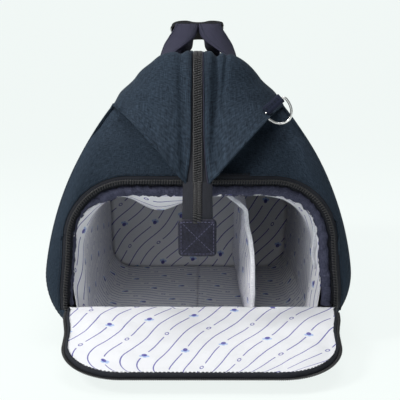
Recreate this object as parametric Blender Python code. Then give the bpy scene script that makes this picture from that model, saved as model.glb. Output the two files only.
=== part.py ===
"""Weekender bag with a zipped shoe compartment in one end.

The bag stands on z = 0 and its length runs along Y. The end at -Y holds the shoe compartment,
whose padded door is folded down onto the floor. X points to the bag's right side, seen from
that end. All sizes are in metres.
"""

import math

import bmesh
import bpy
from mathutils import Matrix, Vector

# ---- Driving dimensions -------------------------------------------------------------------
GAP = 0.0003  # between pieces that touch
LENGTH = 0.480
HALF_LENGTH = LENGTH / 2
RIDGE_Z = 0.300
HALF_WIDTH = 0.160
WIDEST_Z = 0.072
BASE_HALF = 0.100  # half width of the flat bottom
SHELL = 0.0022  # thickness of the outer fabric
EDGE_RADIUS = 0.020  # rounding between the sides and the ends
SEAM_DX = 0.0030  # the end seam lies this far inside the widest outline
SEAM_DY = EDGE_RADIUS - math.sqrt(EDGE_RADIUS**2 - (EDGE_RADIUS - SEAM_DX) ** 2)
REGULAR_Y = 0.110  # from here inwards the section no longer changes
RIDGE_SAG = 0.0045  # the ridge between its two crests

SEAM_ANGLE = -46.0  # where the base panel meets the side panels, degrees
SHOULDER_ANGLE = 54.7  # where the fold leaves the end seam
TAPE_ANGLE = 87.5  # upper edge of the side panels, beside the top zip
ROW_ANGLES = [-30, -15, 0, 9, 18, 27, 36, 45, SHOULDER_ANGLE]
FOLD_ANGLES = [60, 65.5, 71, 76.5, 82, TAPE_ANGLE]

BEAK_TIP = (0.0140, -0.0220, 0.178)  # half width, distance from the end, height
FOLD_FULLNESS = 3.0  # 1 is a hollow fold; more carries the crest's shape further out
FOLD_BULGE = Vector((0, -0.014, 0.005))  # of the hanging edge, between the shoulder and the tip
TUCK = 0.006  # how far an end panel's top sits back behind the fold
ZIP_HALF = 0.0065  # half width between the fabric edges along the top zip

HINGE_Y = -0.004  # of the door, from the end
HINGE_Z = 0.038
DOOR_LEAN = math.radians(5.2)  # of the closed door
MOUTH_HALF_LOW = 0.1395  # centre line of the U zip
MOUTH_HALF_HIGH = 0.1362
MOUTH_TOP = 0.170
MOUTH_RADIUS = 0.062
SILL_Z = 0.036
DOOR_REST = 0.0140  # height at which the open door's front edge comes to rest

POCKET_HALF = 0.1205
POCKET_TOP = 0.153
POCKET_FLOOR = 0.0074
POCKET_DEPTH = 0.330
LINING = 0.0012
LINING_INSET = 0.0056
DIVIDER_X = 0.0485

WEBBING = 0.038
WEBBING_THICK = 0.0020
FOLDED_WIDTH = 0.0266  # the webbing is folded lengthwise inside the grip
FOLDED_THICK = 0.0040
STRAP_Y = 0.088
GRIP_HALF = 0.046
GRIP_Z = 0.3305
GRIP_SAG = 0.0040  # of the webbing between the grip's ends
WRAP_SAG = 0.0100  # of the leather under it

RING_BAR = 0.027
RING_DEPTH = 0.021
RING_WIRE = 0.0016
RING_ANGLE = math.radians(42)

FABRIC = ((0.030, 0.044, 0.058, 1), 0.85, 0.0)
BOARD = ((0.25, 0.22, 0.19, 1), 0.8, 0.0)
TAPE = ((0.035, 0.035, 0.040, 1), 0.7, 0.0)
TEETH = ((0.045, 0.045, 0.045, 1), 0.4, 0.0)
PRINT = ((0.80, 0.81, 0.84, 1), 0.8, 0.0)
BINDING = ((0.075, 0.078, 0.105, 1), 0.75, 0.0)
STRAP = ((0.055, 0.057, 0.085, 1), 0.75, 0.0)
LEATHER = ((0.035, 0.035, 0.050, 1), 0.45, 0.0)
GRIP = ((0.012, 0.012, 0.014, 1), 0.35, 0.0)
FOAM = ((0.6, 0.6, 0.58, 1), 0.95, 0.0)
NICKEL = ((0.75, 0.75, 0.73, 1), 0.25, 1.0)


# ---- Scene helpers ------------------------------------------------------------------------
def clear_scene():
    for old in list(bpy.data.objects):
        bpy.data.objects.remove(old, do_unlink=True)


def make_material(name, look):
    colour, roughness, metallic = look
    material = bpy.data.materials.new(name + "_material")
    material.use_nodes = True
    shader = material.node_tree.nodes["Principled BSDF"]
    shader.inputs["Base Color"].default_value = colour
    shader.inputs["Roughness"].default_value = roughness
    shader.inputs["Metallic"].default_value = metallic
    return material


def make_pivot(name, place, turn=None):
    """An empty on a joint's axis."""
    pivot = bpy.data.objects.new(name, None)
    bpy.context.scene.collection.objects.link(pivot)
    pivot.matrix_world = Matrix.Translation(place) @ (turn or Matrix.Identity(3)).to_4x4()
    return pivot


def make_object(name, points, faces, look, pivot=None, local=False):
    """One closed piece. Points are world places, or places in the pivot's own frame if local."""
    if pivot is not None and not local:
        to_pivot = pivot.matrix_world.inverted()
        points = [to_pivot @ Vector(p) for p in points]
    mesh = bpy.data.meshes.new(name)
    mesh.from_pydata([tuple(p) for p in points], [], faces)
    face_out(mesh)
    mesh.shade_smooth()
    mesh.set_sharp_from_angle(angle=math.radians(35))
    mesh.materials.append(make_material(name, look))
    piece = bpy.data.objects.new(name, mesh)
    bpy.context.scene.collection.objects.link(piece)
    piece.parent = pivot
    return piece


def face_out(mesh):
    work = bmesh.new()
    work.from_mesh(mesh)
    bmesh.ops.recalc_face_normals(work, faces=work.faces)
    if work.calc_volume(signed=True) < 0:
        bmesh.ops.reverse_faces(work, faces=work.faces)
    work.to_mesh(mesh)
    work.free()


def cut(piece, cutter):
    modifier = piece.modifiers.new("cut", "BOOLEAN")
    modifier.operation = "DIFFERENCE"
    modifier.solver = "EXACT"
    modifier.object = cutter
    cutter.hide_render = True
    cutter.display_type = "WIRE"


# ---- Solid builders -----------------------------------------------------------------------
def grid_solid(outer, inner):
    """Points and faces of a shell between two grids of the same size."""
    rows, columns = len(outer), len(outer[0])
    points = [p for row in outer for p in row] + [p for row in inner for p in row]
    offset = rows * columns

    def at(i, j, layer):
        return layer * offset + i * columns + j

    faces = []
    for i in range(rows - 1):
        for j in range(columns - 1):
            corners = [(i, j), (i + 1, j), (i + 1, j + 1), (i, j + 1)]
            faces.append([at(*c, 0) for c in corners])
            faces.append([at(*c, 1) for c in reversed(corners)])
    edge = [(i, 0) for i in range(rows)]
    edge += [(rows - 1, j) for j in range(1, columns)]
    edge += [(i, columns - 1) for i in range(rows - 2, -1, -1)]
    edge += [(0, j) for j in range(columns - 2, 0, -1)]
    for here, there in zip(edge, edge[1:] + edge[:1]):
        faces.append([at(*here, 0), at(*here, 1), at(*there, 1), at(*there, 0)])
    return points, faces


def surface_solid(surface, first, second, thickness, centre, start=0.0, level_last=False):
    """A shell between depths start and start + thickness under surface(a, b), towards centre.

    With level_last, the last row's thickness has no part along X.
    """
    step = 1e-4
    outer, inner = [], []
    for a in first:
        outer.append([])
        inner.append([])
        for b in second:
            place = surface(a, b)
            along = surface(a + step, b) - surface(a - step, b)
            across = surface(a, b + step * 50) - surface(a, b - step * 50)
            normal = along.cross(across).normalized()
            if normal.dot(centre - place) < 0:
                normal = -normal
            if level_last and b == second[-1]:
                normal = Vector((0, normal.y, normal.z)).normalized()
            outer[-1].append(place + normal * start)
            inner[-1].append(place + normal * (start + thickness))
    return grid_solid(outer, inner)


def sweep_solid(stations):
    """A solid through stations, each a list of the same number of corner places."""
    count = len(stations[0])
    points = [p for station in stations for p in station]
    faces = [list(range(count)), [len(points) - count + k for k in range(count)][::-1]]
    for i in range(len(stations) - 1):
        low, high = i * count, (i + 1) * count
        for k in range(count):
            after = (k + 1) % count
            faces.append([low + k, high + k, high + after, low + after])
    return points, faces


def extrude_solid(outline, low, high):
    """A solid from a closed outline of places, moved by the vectors low and high."""
    return sweep_solid([[p + low for p in outline], [p + high for p in outline]])


def loop_solid(stations):
    """A solid ring through stations that close on themselves."""
    count = len(stations[0])
    points = [p for station in stations for p in station]
    faces = []
    for i in range(len(stations)):
        low, high = i * count, (i + 1) % len(stations) * count
        for k in range(count):
            after = (k + 1) % count
            faces.append([low + k, high + k, high + after, low + after])
    return points, faces


def ribbon_stations(path, sides, sizes):
    """Four corners at each place of a path; sides are the directions of the ribbon's width and
    sizes its (width, thickness)."""
    stations = []
    for k, (place, side, size) in enumerate(zip(path, sides, sizes)):
        ahead = path[min(k + 1, len(path) - 1)] - path[max(k - 1, 0)]
        side = (side - ahead.normalized() * side.dot(ahead.normalized())).normalized()
        normal = ahead.cross(side).normalized()
        w, t = side * size[0] / 2, normal * size[1] / 2
        stations.append([place - w - t, place + w - t, place + w + t, place - w + t])
    return stations


def smooth_path(knots, per_span):
    """Places on a Catmull-Rom curve through the knots."""
    knots = [Vector(k) for k in knots]
    ends = [2 * knots[0] - knots[1]] + knots + [2 * knots[-1] - knots[-2]]
    places = []
    for p0, p1, p2, p3 in zip(ends, ends[1:], ends[2:], ends[3:]):
        for k in range(per_span):
            t = k / per_span
            places.append(
                0.5 * (2 * p1 + (p2 - p0) * t + (2 * p0 - 5 * p1 + 4 * p2 - p3) * t * t
                       + (3 * p1 - p0 - 3 * p2 + p3) * t * t * t)
            )
    return places + [knots[-1]]


def rounded_outline(half_x, half_y, radius, steps=4):
    """A rounded rectangle in the XY plane."""
    places = []
    for quarter, (sx, sy) in enumerate([(1, 1), (-1, 1), (-1, -1), (1, -1)]):
        for k in range(steps + 1):
            angle = math.pi / 2 * (quarter + k / steps)
            places.append(Vector((sx * (half_x - radius) + radius * math.cos(angle),
                                  sy * (half_y - radius) + radius * math.sin(angle), 0)))
    return places


# ---- The bag's shape ----------------------------------------------------------------------
def outline(angle):
    """Half width and height of the middle section. -90 is the base's edge and 90 the ridge."""
    turn = math.radians(min(angle, 90))
    if angle < 0:
        side = BASE_HALF + (HALF_WIDTH - BASE_HALF) * math.cos(turn)
        return side, WIDEST_Z * (1 + math.sin(turn))
    side = HALF_WIDTH * max(0.0, math.cos(turn)) ** 1.02
    return side, WIDEST_Z + (RIDGE_Z - WIDEST_Z) * math.sin(turn) ** (4 / 3)


def half_width(z):
    if z < WIDEST_Z:
        part = (WIDEST_Z - z) / WIDEST_Z
        return BASE_HALF + (HALF_WIDTH - BASE_HALF) * math.sqrt(max(0.0, 1 - part * part))
    part = min(1.0, (z - WIDEST_Z) / (RIDGE_Z - WIDEST_Z))
    return HALF_WIDTH * (1 - part**1.5) ** 0.51


def lean(z):
    """How far the end stands back from its foremost line, at a height."""
    sill = 0.041
    if z < sill:
        part = (sill - z) / sill
        return 0.006 * (1 - math.sqrt(max(0.0, 1 - part * part)))
    rise = z - sill
    return 0.0909 * rise + 0.052 * (max(0.0, rise - 0.132) / 0.119) ** 1.6


def rounding(distance):
    """How far the rounded edge recedes, at a distance from the corner's tangent plane."""
    if distance >= EDGE_RADIUS:
        return 0.0
    left = EDGE_RADIUS - max(0.0, distance)
    return EDGE_RADIUS - math.sqrt(max(0.0, EDGE_RADIUS**2 - left * left))


def smoothstep(value):
    value = min(1.0, max(0.0, value))
    return value * value * (3 - 2 * value)


def settled(place):
    """The ridge hangs a little between its two crests."""
    from_end = HALF_LENGTH - abs(place.y)
    sag = RIDGE_SAG * smoothstep((from_end - 0.080) / 0.040)
    return Vector((place.x, place.y, place.z - sag * max(0.0, (place.z - 0.246) / 0.054)))


def crest_profile():
    """The top zip's edge from the beak's tip up over the crest, as (distance from end, height)."""
    knots = [(0, -0.022, 0.178), (0, -0.008, 0.191), (0, 0.007, 0.218), (0, 0.020, 0.250),
             (0, 0.033, 0.282), (0, 0.046, 0.2965), (0, 0.066, 0.3000), (0, REGULAR_Y, 0.2997)]
    return smooth_path(knots, 6)


CREST = crest_profile()


def crest_point(part):
    """A place on the crest profile; part runs from 0 at the tip to 1."""
    spans = [(b - a).length for a, b in zip(CREST, CREST[1:])]
    want = min(1.0, max(0.0, part)) * sum(spans)
    for k, span in enumerate(spans):
        if want <= span or k == len(spans) - 1:
            return CREST[k].lerp(CREST[k + 1], min(1.0, want / span))
        want -= span


def zip_edge(part):
    """The side panel's edge beside the top zip, from the beak's tip to the middle section."""
    place = crest_point(part)
    spread = (BEAK_TIP[0] - ZIP_HALF) * max(0.0, 1 - part * 3.2) ** 1.5
    return Vector((ZIP_HALF + spread, place.y - HALF_LENGTH, place.z))


def section_place(part, angle):
    """The right side panel below the fold. part runs from 0 at the end seam to 1."""
    x, z = outline(angle)
    span = REGULAR_Y - lean(z) - SEAM_DY
    depth = SEAM_DY + span * part * (0.25 + 0.75 * max(0.0, part))
    return Vector((x - rounding(depth), lean(z) + depth - HALF_LENGTH, z))


def fold_place(part, angle):
    """The right half of the fold that hangs over the end, and the side panel above it."""
    up = (angle - SHOULDER_ANGLE) / (TAPE_ANGLE - SHOULDER_ANGLE)
    part, up = min(1.0, max(0.0, part)), min(1.0, up)
    shoulder, low_far = section_place(0, SHOULDER_ANGLE), section_place(1, SHOULDER_ANGLE)
    tip, top_far = zip_edge(0), zip_edge(1)
    far_x, far_z = outline(angle)
    low = section_place(part, SHOULDER_ANGLE)
    high = zip_edge(part)
    near = shoulder.lerp(tip, up) + FOLD_BULGE * math.sin(math.pi * up)
    far = Vector((far_x, REGULAR_Y - HALF_LENGTH, far_z))
    if up > 0.999:
        far = top_far
    share = 1 - (1 - up) ** FOLD_FULLNESS
    flat = (shoulder * (1 - part) * (1 - share) + tip * (1 - part) * share
            + low_far * part * (1 - share) + top_far * part * share)
    return low * (1 - share) + high * share + near * (1 - part) + far * part - flat


def side_place(part, angle):
    """The whole right side panel. part runs from 0 to 1 over the near end, to 2 along the
    straight middle and to 3 over the far end."""
    from_end = part if part <= 1 else 3 - part if part >= 2 else 1
    shape = section_place if angle <= SHOULDER_ANGLE else fold_place
    place = shape(from_end, angle)
    if part >= 2:
        place.y = -place.y
    elif part > 1:
        place.y *= 3 - 2 * part
    return settled(place)


def end_place(across, angle):
    """The near end panel; across runs from -1 to 1 and angle picks the height."""
    x, z = outline(angle)
    behind_fold = TUCK * smoothstep((z - 0.205) / 0.020)
    seam = SEAM_DX + GAP + 0.6 * behind_fold
    inwards = 1 - abs(across)
    inset = seam + (x - seam) * inwards * (0.4 + 0.6 * max(0.0, inwards))
    side = math.copysign(x - inset, across)
    return Vector((side, lean(z) + rounding(inset) + behind_fold - HALF_LENGTH, z))


# ---- Outer shell --------------------------------------------------------------------------
def mirrored_x(points):
    return [Vector((-p[0], p[1], p[2])) for p in points]


def mirrored_y(points):
    return [Vector((p[0], -p[1], p[2])) for p in points]


def make_side_panels():
    columns = [k / 10 for k in range(11)]
    parts = columns + [1.33, 1.67] + [3 - c for c in reversed(columns)]
    angles = [SEAM_ANGLE + 0.6] + ROW_ANGLES + FOLD_ANGLES
    middle = Vector((0, 0, 0.12))
    points, faces = surface_solid(side_place, parts, angles, SHELL, middle, level_last=True)
    make_object("right_side_panel", points, faces, FABRIC)
    make_object("left_side_panel", mirrored_x(points), faces, FABRIC)


def make_base_panel():
    """Flat bottom that turns up to the side seams."""
    angles = [-90, -73, -60, SEAM_ANGLE - 0.6]
    columns = [0, 0.15, 0.35, 0.6, 1.0]
    parts = columns + [3 - c for c in reversed(columns)]

    def place(part, station):
        reach = min(abs(station), 4.0)
        low = min(max(int(reach), 1), 3)
        share = max(0.0, reach - low)
        edge = side_place(part, angles[low - 1] * (1 - share) + angles[low] * share)
        return Vector((math.copysign(edge.x * min(1.0, reach), station), edge.y, edge.z))

    stations = [-4, -3, -2, -1, 0, 1, 2, 3, 4]
    points, faces = surface_solid(place, parts, stations, 0.0025, Vector((0, 0, 0.15)))
    make_object("base_panel", points, faces, FABRIC)


def make_end_panel(name):
    across = [-1, -0.93, -0.85, -0.7, -0.4, 0, 0.4, 0.7, 0.85, 0.93, 1]
    angles = [-73, -60, SEAM_ANGLE] + ROW_ANGLES + [62, 69, 75]
    points, faces = surface_solid(end_place, across, angles, SHELL, Vector((0, 0, 0.15)))
    if name == "far_end_panel":
        points = mirrored_y(points)
    panel = make_object(name, points, faces, FABRIC)
    for side in (-1, 1):
        cut(panel, fold_cutter(name, side))
    return panel


def fold_cutter(name, side):
    """Takes away an end panel's upper corner, just above the line where the fold hangs."""
    profile = [(0.060, 0.231), (0.072, 0.236), (0.079, 0.2385), (0.086, 0.2412),
               (0.110, 0.248), (0.110, 0.310), (0.045, 0.310)]
    shape = [Vector((side * x, 0, z)) for x, z in profile]
    points, faces = extrude_solid(shape, Vector((0, -0.300, 0)), Vector((0, -0.150, 0)))
    if name == "far_end_panel":
        points = mirrored_y(points)
    return make_object("{}_cutter_{}".format(name, "right" if side > 0 else "left"),
                       points, faces, FABRIC)


def make_base_board():
    shape = rounded_outline(0.094, 0.220, 0.020)
    points, faces = extrude_solid(shape, Vector((0, 0, 0.0028)), Vector((0, 0, 0.0052)))
    make_object("base_board", points, faces, BOARD)


# ---- Compartment mouth --------------------------------------------------------------------
def mouth_path(with_tails):
    """The U zip's centre line as (x, z), from the left foot over the top to the right foot."""
    right = [(0.1305, 0.018), (0.1362, 0.030)] if with_tails else []
    right += [(MOUTH_HALF_LOW, 0.042), (MOUTH_HALF_LOW, 0.060),
              (MOUTH_HALF_HIGH, MOUTH_TOP - MOUTH_RADIUS)]
    centre = (MOUTH_HALF_HIGH - MOUTH_RADIUS, MOUTH_TOP - MOUTH_RADIUS)
    for k in range(1, 9):
        angle = math.pi / 2 * k / 8
        right.append((centre[0] + MOUTH_RADIUS * math.cos(angle),
                      centre[1] + MOUTH_RADIUS * math.sin(angle)))
    left = [(-x, z) for x, z in right]
    return left + [(0.0, MOUTH_TOP)] + right[::-1]


def mouth_offset(path, offset):
    """The path moved outwards by offset."""
    moved = []
    for k, (x, z) in enumerate(path):
        x0, z0 = path[max(k - 1, 0)]
        x1, z1 = path[min(k + 1, len(path) - 1)]
        size = math.hypot(x1 - x0, z1 - z0)
        moved.append((x - (z1 - z0) / size * offset, z + (x1 - x0) / size * offset))
    return moved


def mouth_band(name, inside, outside, front, back, look, with_tails):
    """A flat band along the mouth between two offsets and two depths behind the end."""
    path = mouth_path(with_tails)
    stations = []
    for centre, low, high in zip(path, mouth_offset(path, inside), mouth_offset(path, outside)):
        base = lean(centre[1]) + rounding(half_width(centre[1]) - abs(centre[0])) - HALF_LENGTH
        stations.append([Vector((low[0], base + front, low[1])),
                         Vector((high[0], base + front, high[1])),
                         Vector((high[0], base + back, high[1])),
                         Vector((low[0], base + back, low[1]))])
    points, faces = sweep_solid(stations)
    return make_object(name, points, faces, look)


def mouth_cutter():
    """The opening in the end panel, down to the sill."""
    edge = mouth_offset(mouth_path(False), 0.0055)
    edge = [(edge[0][0], SILL_Z)] + edge + [(edge[-1][0], SILL_Z)]
    shape = [Vector((x, 0, z)) for x, z in edge]
    points, faces = extrude_solid(shape, Vector((0, -0.300, 0)), Vector((0, -0.190, 0)))
    return make_object("mouth_cutter", points, faces, FABRIC)


def make_mouth():
    mouth_band("opening_tape", 0.0029, 0.0052, -0.0013, -0.0003, TAPE, True)
    mouth_band("opening_teeth", 0.0002, 0.0026, -0.0040, -0.0016, TEETH, True)
    mouth_band("mouth_binding", -0.0150, -0.0060, 0.0020, 0.0060, BINDING, False)


# ---- Linings ------------------------------------------------------------------------------
def make_main_lining():
    """Trough of lining along both sides and the floor."""
    angles = [66, 60, 54, 45, 36, 27, 18, 9, 0, -15, -30, -46, -60, -75, -90]
    stations = [-(k + 1) for k in range(len(angles))] + [k + 1 for k in range(len(angles))][::-1]

    def place(part, station):
        low = min(max(int(abs(station)) - 1, 0), len(angles) - 1)
        high = min(low + 1, len(angles) - 1)
        share = abs(station) - int(abs(station)) if abs(station) >= 1 else 0
        angle = angles[low] * (1 - share) + angles[high] * share
        x, z = outline(angle)
        reach = HALF_LENGTH - lean(z) - 0.014 - 0.030 * smoothstep((z - 0.215) / 0.040)
        return settled(Vector((math.copysign(x, station), -reach + 2 * reach * part, z)))

    parts = [0, 0.08, 0.2, 0.35, 0.5, 0.65, 0.8, 0.92, 1]
    points, faces = surface_solid(
        place, parts, stations, LINING, Vector((0, 0, 0.16)), LINING_INSET)
    make_object("main_lining", points, faces, PRINT)


def make_far_lining():
    """Lining that backs the far end panel."""
    across = [-1, -0.8, -0.5, 0, 0.5, 0.8, 1]
    angles = [-50, -30, 0, 18, 36, 50]

    def place(a, b):
        spot = end_place(a, b)
        return Vector((spot.x * 0.93, spot.y, 0.010 + spot.z * 0.94))

    points, faces = surface_solid(place, across, angles, LINING, Vector((0, 0, 0.15)), 0.0035)
    make_object("far_end_lining", mirrored_y(points), faces, PRINT)


def pocket_outline(inset):
    """Closed outline of the shoe compartment's lining."""
    half, top, floor = POCKET_HALF - inset, POCKET_TOP - inset, POCKET_FLOOR + inset
    right = [(0.098, floor), (0.110, floor + 0.006), (half - 0.002, 0.030), (half, 0.045)]
    radius = 0.052 - inset
    for k in range(7):
        angle = math.pi / 2 * k / 6
        right.append((half - 0.001 - radius + radius * math.cos(angle),
                      top - radius + radius * math.sin(angle)))
    left = [(-x, z) for x, z in right[::-1]]
    return right + left


def make_pocket():
    """Open box of lining behind the mouth."""
    back = POCKET_DEPTH - HALF_LENGTH
    loops = []
    for inset, far in ((0.0, back), (LINING, back - LINING)):
        shape = pocket_outline(inset)
        loops.append([Vector((x, lean(z) + 0.003 - HALF_LENGTH, z)) for x, z in shape])
        loops.append([Vector((x, far, z)) for x, z in shape])
    outer_near, outer_far, inner_near, inner_far = loops
    points, faces = sweep_solid([outer_far, outer_near, inner_near, inner_far])
    make_object("pocket_lining", points, faces, PRINT)


def make_divider():
    """Curtain between the shoes' bay and the bottle's bay; its front edge slants back on top."""
    floor = POCKET_FLOOR + LINING + GAP
    ceiling = POCKET_TOP - LINING - GAP
    back = POCKET_DEPTH - LINING - GAP
    knots = [(0.022, floor), (0.024, 0.060), (0.032, 0.105), (0.055, 0.140), (0.085, ceiling),
             (back, ceiling), (back, floor)]
    shape = [Vector((0, y - HALF_LENGTH, z)) for y, z in knots]
    points, faces = extrude_solid(
        shape, Vector((DIVIDER_X, 0, 0)), Vector((DIVIDER_X + LINING, 0, 0)))
    make_object("pocket_divider", points, faces, PRINT)


# ---- Top zip ------------------------------------------------------------------------------
def zip_run():
    """(half width, place) along the whole top zip, from the near beak's tip to the far one."""
    parts = [k / 18 for k in range(19)]
    near = [zip_edge(part) for part in parts]
    run = near + [Vector((p.x, -p.y, p.z)) for p in reversed(near)]
    return [settled(p) for p in run]


def zip_band(name, low, high, above, below, look):
    """A band along the top zip; low and high give its x from the fabric edge's half width."""
    run = zip_run()
    stations = []
    for k, place in enumerate(run):
        ahead = run[min(k + 1, len(run) - 1)] - run[max(k - 1, 0)]
        ahead.x = 0
        normal = Vector((1, 0, 0)).cross(ahead).normalized()
        up, down = normal * above, normal * below
        spot = Vector((0, place.y, place.z))
        x0, x1 = Vector((low(place.x), 0, 0)), Vector((high(place.x), 0, 0))
        stations.append([spot + x0 + down, spot + x1 + down, spot + x1 + up, spot + x0 + up])
    points, faces = sweep_solid(stations)
    make_object(name, points, faces, look)


def make_top_zip():
    chain = 0.0031
    zip_band("top_tape_right", lambda x: chain + GAP, lambda x: x - GAP, -0.0002, -0.0014, TAPE)
    zip_band("top_tape_left", lambda x: GAP - x, lambda x: -chain - GAP, -0.0002, -0.0014, TAPE)
    zip_band("top_teeth", lambda x: -chain, lambda x: chain, 0.0008, -0.0016, TEETH)


def make_tail(name, mirror):
    """The zip tape's free end with its leather tab; swings on the beak's tip."""
    tip = Vector((0, BEAK_TIP[1] - 0.0006 - HALF_LENGTH, BEAK_TIP[2] - 0.0012))
    knots = [tip, (0, -HALF_LENGTH - 0.043, 0.1625), (0, -HALF_LENGTH - 0.062, 0.1465)]
    path = smooth_path(knots, 4)
    sides, sizes = [Vector((1, 0, 0))] * len(path), [(0.029, 0.0012)] * len(path)
    tape, tape_faces = sweep_solid(ribbon_stations(path, sides, sizes))
    shape = [Vector((p.x, 0, p.y)) for p in rounded_outline(0.018, 0.0175, 0.004)]
    centre = Vector((0, -HALF_LENGTH - 0.065, 0.1265))
    tab, tab_faces = extrude_solid(
        shape, centre - Vector((0, 0.0016, 0)), centre + Vector((0, 0.0016, 0)))
    if mirror:
        tape, tab, tip = mirrored_y(tape), mirrored_y(tab), Vector((0, -tip.y, tip.z))
    pivot = make_pivot(name + "_pivot", tip)
    make_object(name + "_tape", tape, tape_faces, TAPE, pivot)
    make_object(name + "_tab", tab, tab_faces, LEATHER, pivot)


# ---- Door ---------------------------------------------------------------------------------
def door_slope():
    """How steeply the open door falls from its hinge to where its front edge rests."""
    reach = (MOUTH_TOP - HINGE_Z) / math.cos(DOOR_LEAN) - 0.0028
    return math.asin((HINGE_Z - DOOR_REST) / reach)


def door_edge(offset):
    """The door's edge in its own plane as (x, distance from the hinge)."""
    path = mouth_offset(mouth_path(False), offset)
    return [(x, max(0.002, (z - HINGE_Z) / math.cos(DOOR_LEAN))) for x, z in path]


def door_layer(name, offset, low, high, look, pivot):
    edge = door_edge(offset)
    edge[0] = (edge[0][0], 0.002)
    edge[-1] = (edge[-1][0], 0.002)
    shape = [Vector((x, v, 0)) for x, v in edge]
    points, faces = extrude_solid(shape, Vector((0, 0, low)), Vector((0, 0, high)))
    make_object(name, points, faces, look, pivot, local=True)


def door_band(name, inside, outside, low, high, look, pivot):
    stations = []
    for a, b in zip(door_edge(inside), door_edge(outside)):
        stations.append([Vector((a[0], a[1], low)), Vector((b[0], b[1], low)),
                         Vector((b[0], b[1], high)), Vector((a[0], a[1], high))])
    points, faces = sweep_solid(stations)
    make_object(name, points, faces, look, pivot, local=True)


def make_door():
    """Padded door, open on the floor. Its own frame has Y away from the hinge and Z outside."""
    place = Vector((0, HINGE_Y - HALF_LENGTH, HINGE_Z))
    pivot = make_pivot("door_pivot", place, Matrix.Rotation(math.pi + door_slope(), 3, "X"))
    door_layer("door_shell", -0.0093, -0.0008, 0.0010, FABRIC, pivot)
    door_layer("door_foam", -0.0093, -0.0039, -0.0011, FOAM, pivot)
    door_layer("door_lining", -0.0093, -0.0050, -0.0042, PRINT, pivot)
    door_band("door_binding", -0.0090, -0.0028, -0.0052, 0.0012, TAPE, pivot)
    door_band("door_teeth", -0.0025, -0.0002, -0.0023, 0.0000, TEETH, pivot)


# ---- Handles ------------------------------------------------------------------------------
def strap_place(angle, y, lift):
    """A place over the right side panel, lift above its surface."""
    x, z = outline(angle)
    x1, z1 = outline(angle + 0.5)
    x0, z0 = outline(angle - 0.5)
    normal = Vector((z1 - z0, 0, x0 - x1)).normalized()
    return settled(Vector((x, y, z))) + normal * lift


def handle_loop():
    """The right handle's route, the directions of its width and its (width, thickness)."""
    knots = [strap_place(62, -STRAP_Y, 0.0014), strap_place(67, -STRAP_Y, 0.0016),
             (0.0435, -STRAP_Y, 0.2890), (0.0385, -0.0870, 0.2965), (0.0310, -0.0820, 0.3070),
             (0.0240, -0.0740, 0.3180), (0.0180, -0.0630, 0.3260), (0.0145, -0.0530, 0.3300),
             (0.0140, -GRIP_HALF, GRIP_Z), (0.0140, -GRIP_HALF / 2, GRIP_Z - GRIP_SAG * 0.75),
             (0.0140, 0, GRIP_Z - GRIP_SAG)]
    sides = [(0, 1, 0), (0, 1, 0), (0.1, 1, 0.03), (0.3, 0.92, 0.1), (0.55, 0.8, 0.18),
             (0.75, 0.6, 0.15), (0.92, 0.35, 0.05), (0.99, 0.12, 0), (1, 0, 0), (1, 0, 0), (1, 0, 0)]
    flat, folded = (WEBBING, WEBBING_THICK, 0), (FOLDED_WIDTH, FOLDED_THICK, 0)
    shares = [0, 0, 0, 0, 0.15, 0.45, 0.8, 1, 1, 1, 1]
    sizes = [Vector(flat).lerp(Vector(folded), share) for share in shares]
    near, near_sides, near_sizes = (smooth_path(run, 2) for run in (knots, sides, sizes))
    path = near + [drawn_in(Vector((p.x, -p.y, p.z))) for p in reversed(near[:-1])]
    turned = near_sides + [Vector((s.x, -s.y, s.z)) for s in reversed(near_sides[:-1])]
    return path, turned, near_sizes + near_sizes[-2::-1]


def drawn_in(place):
    """The far half of a handle leans in towards the zip, between its foot and the grip."""
    share = smoothstep((place.z - 0.287) / 0.012) * (1 - smoothstep((place.z - 0.314) / 0.012))
    return Vector((place.x * (1 - 0.30 * share), place.y, place.z + 0.002 * share))


def make_handles():
    sway = make_pivot("handle_pivot", Vector((0, 0, 0.220)))
    points, faces = sweep_solid(ribbon_stations(*handle_loop()))
    make_object("right_handle", points, faces, STRAP, sway)
    make_object("left_handle", mirrored_x(points), faces, STRAP, sway)
    make_wrap(sway)
    make_flap(sway)


def strip_outline(path, thickness):
    """Closed outline round a path in the XZ plane."""
    left, right = [], []
    for k, place in enumerate(path):
        ahead = (path[min(k + 1, len(path) - 1)] - path[max(k - 1, 0)]).normalized()
        side = Vector((-ahead.z, 0, ahead.x)) * thickness / 2
        left.append(place + side)
        right.append(place - side)
    return left + right[::-1]


def make_wrap(sway):
    """Leather cradle under both handles; it sags between its ends."""
    cradle = [(0.0296, 0.0014), (0.0294, -0.0020), (0.0268, -0.0038), (0, -0.0042),
              (-0.0268, -0.0038), (-0.0294, -0.0020), (-0.0296, 0.0014)]
    stations = []
    for share in (-1, -0.8, -0.5, -0.2, 0.2, 0.5, 0.8, 1):
        fall = WRAP_SAG * (1 - share * share)
        path = []
        for x, rise in cradle:
            low = fall if rise < 0 else GRIP_SAG * (1 - share * share)
            path.append(Vector((x, share * GRIP_HALF, GRIP_Z + rise - low)))
        stations.append(strip_outline(path, 0.0018))
    points, faces = sweep_solid(stations)
    make_object("handle_wrap", points, faces, GRIP, sway)


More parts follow.
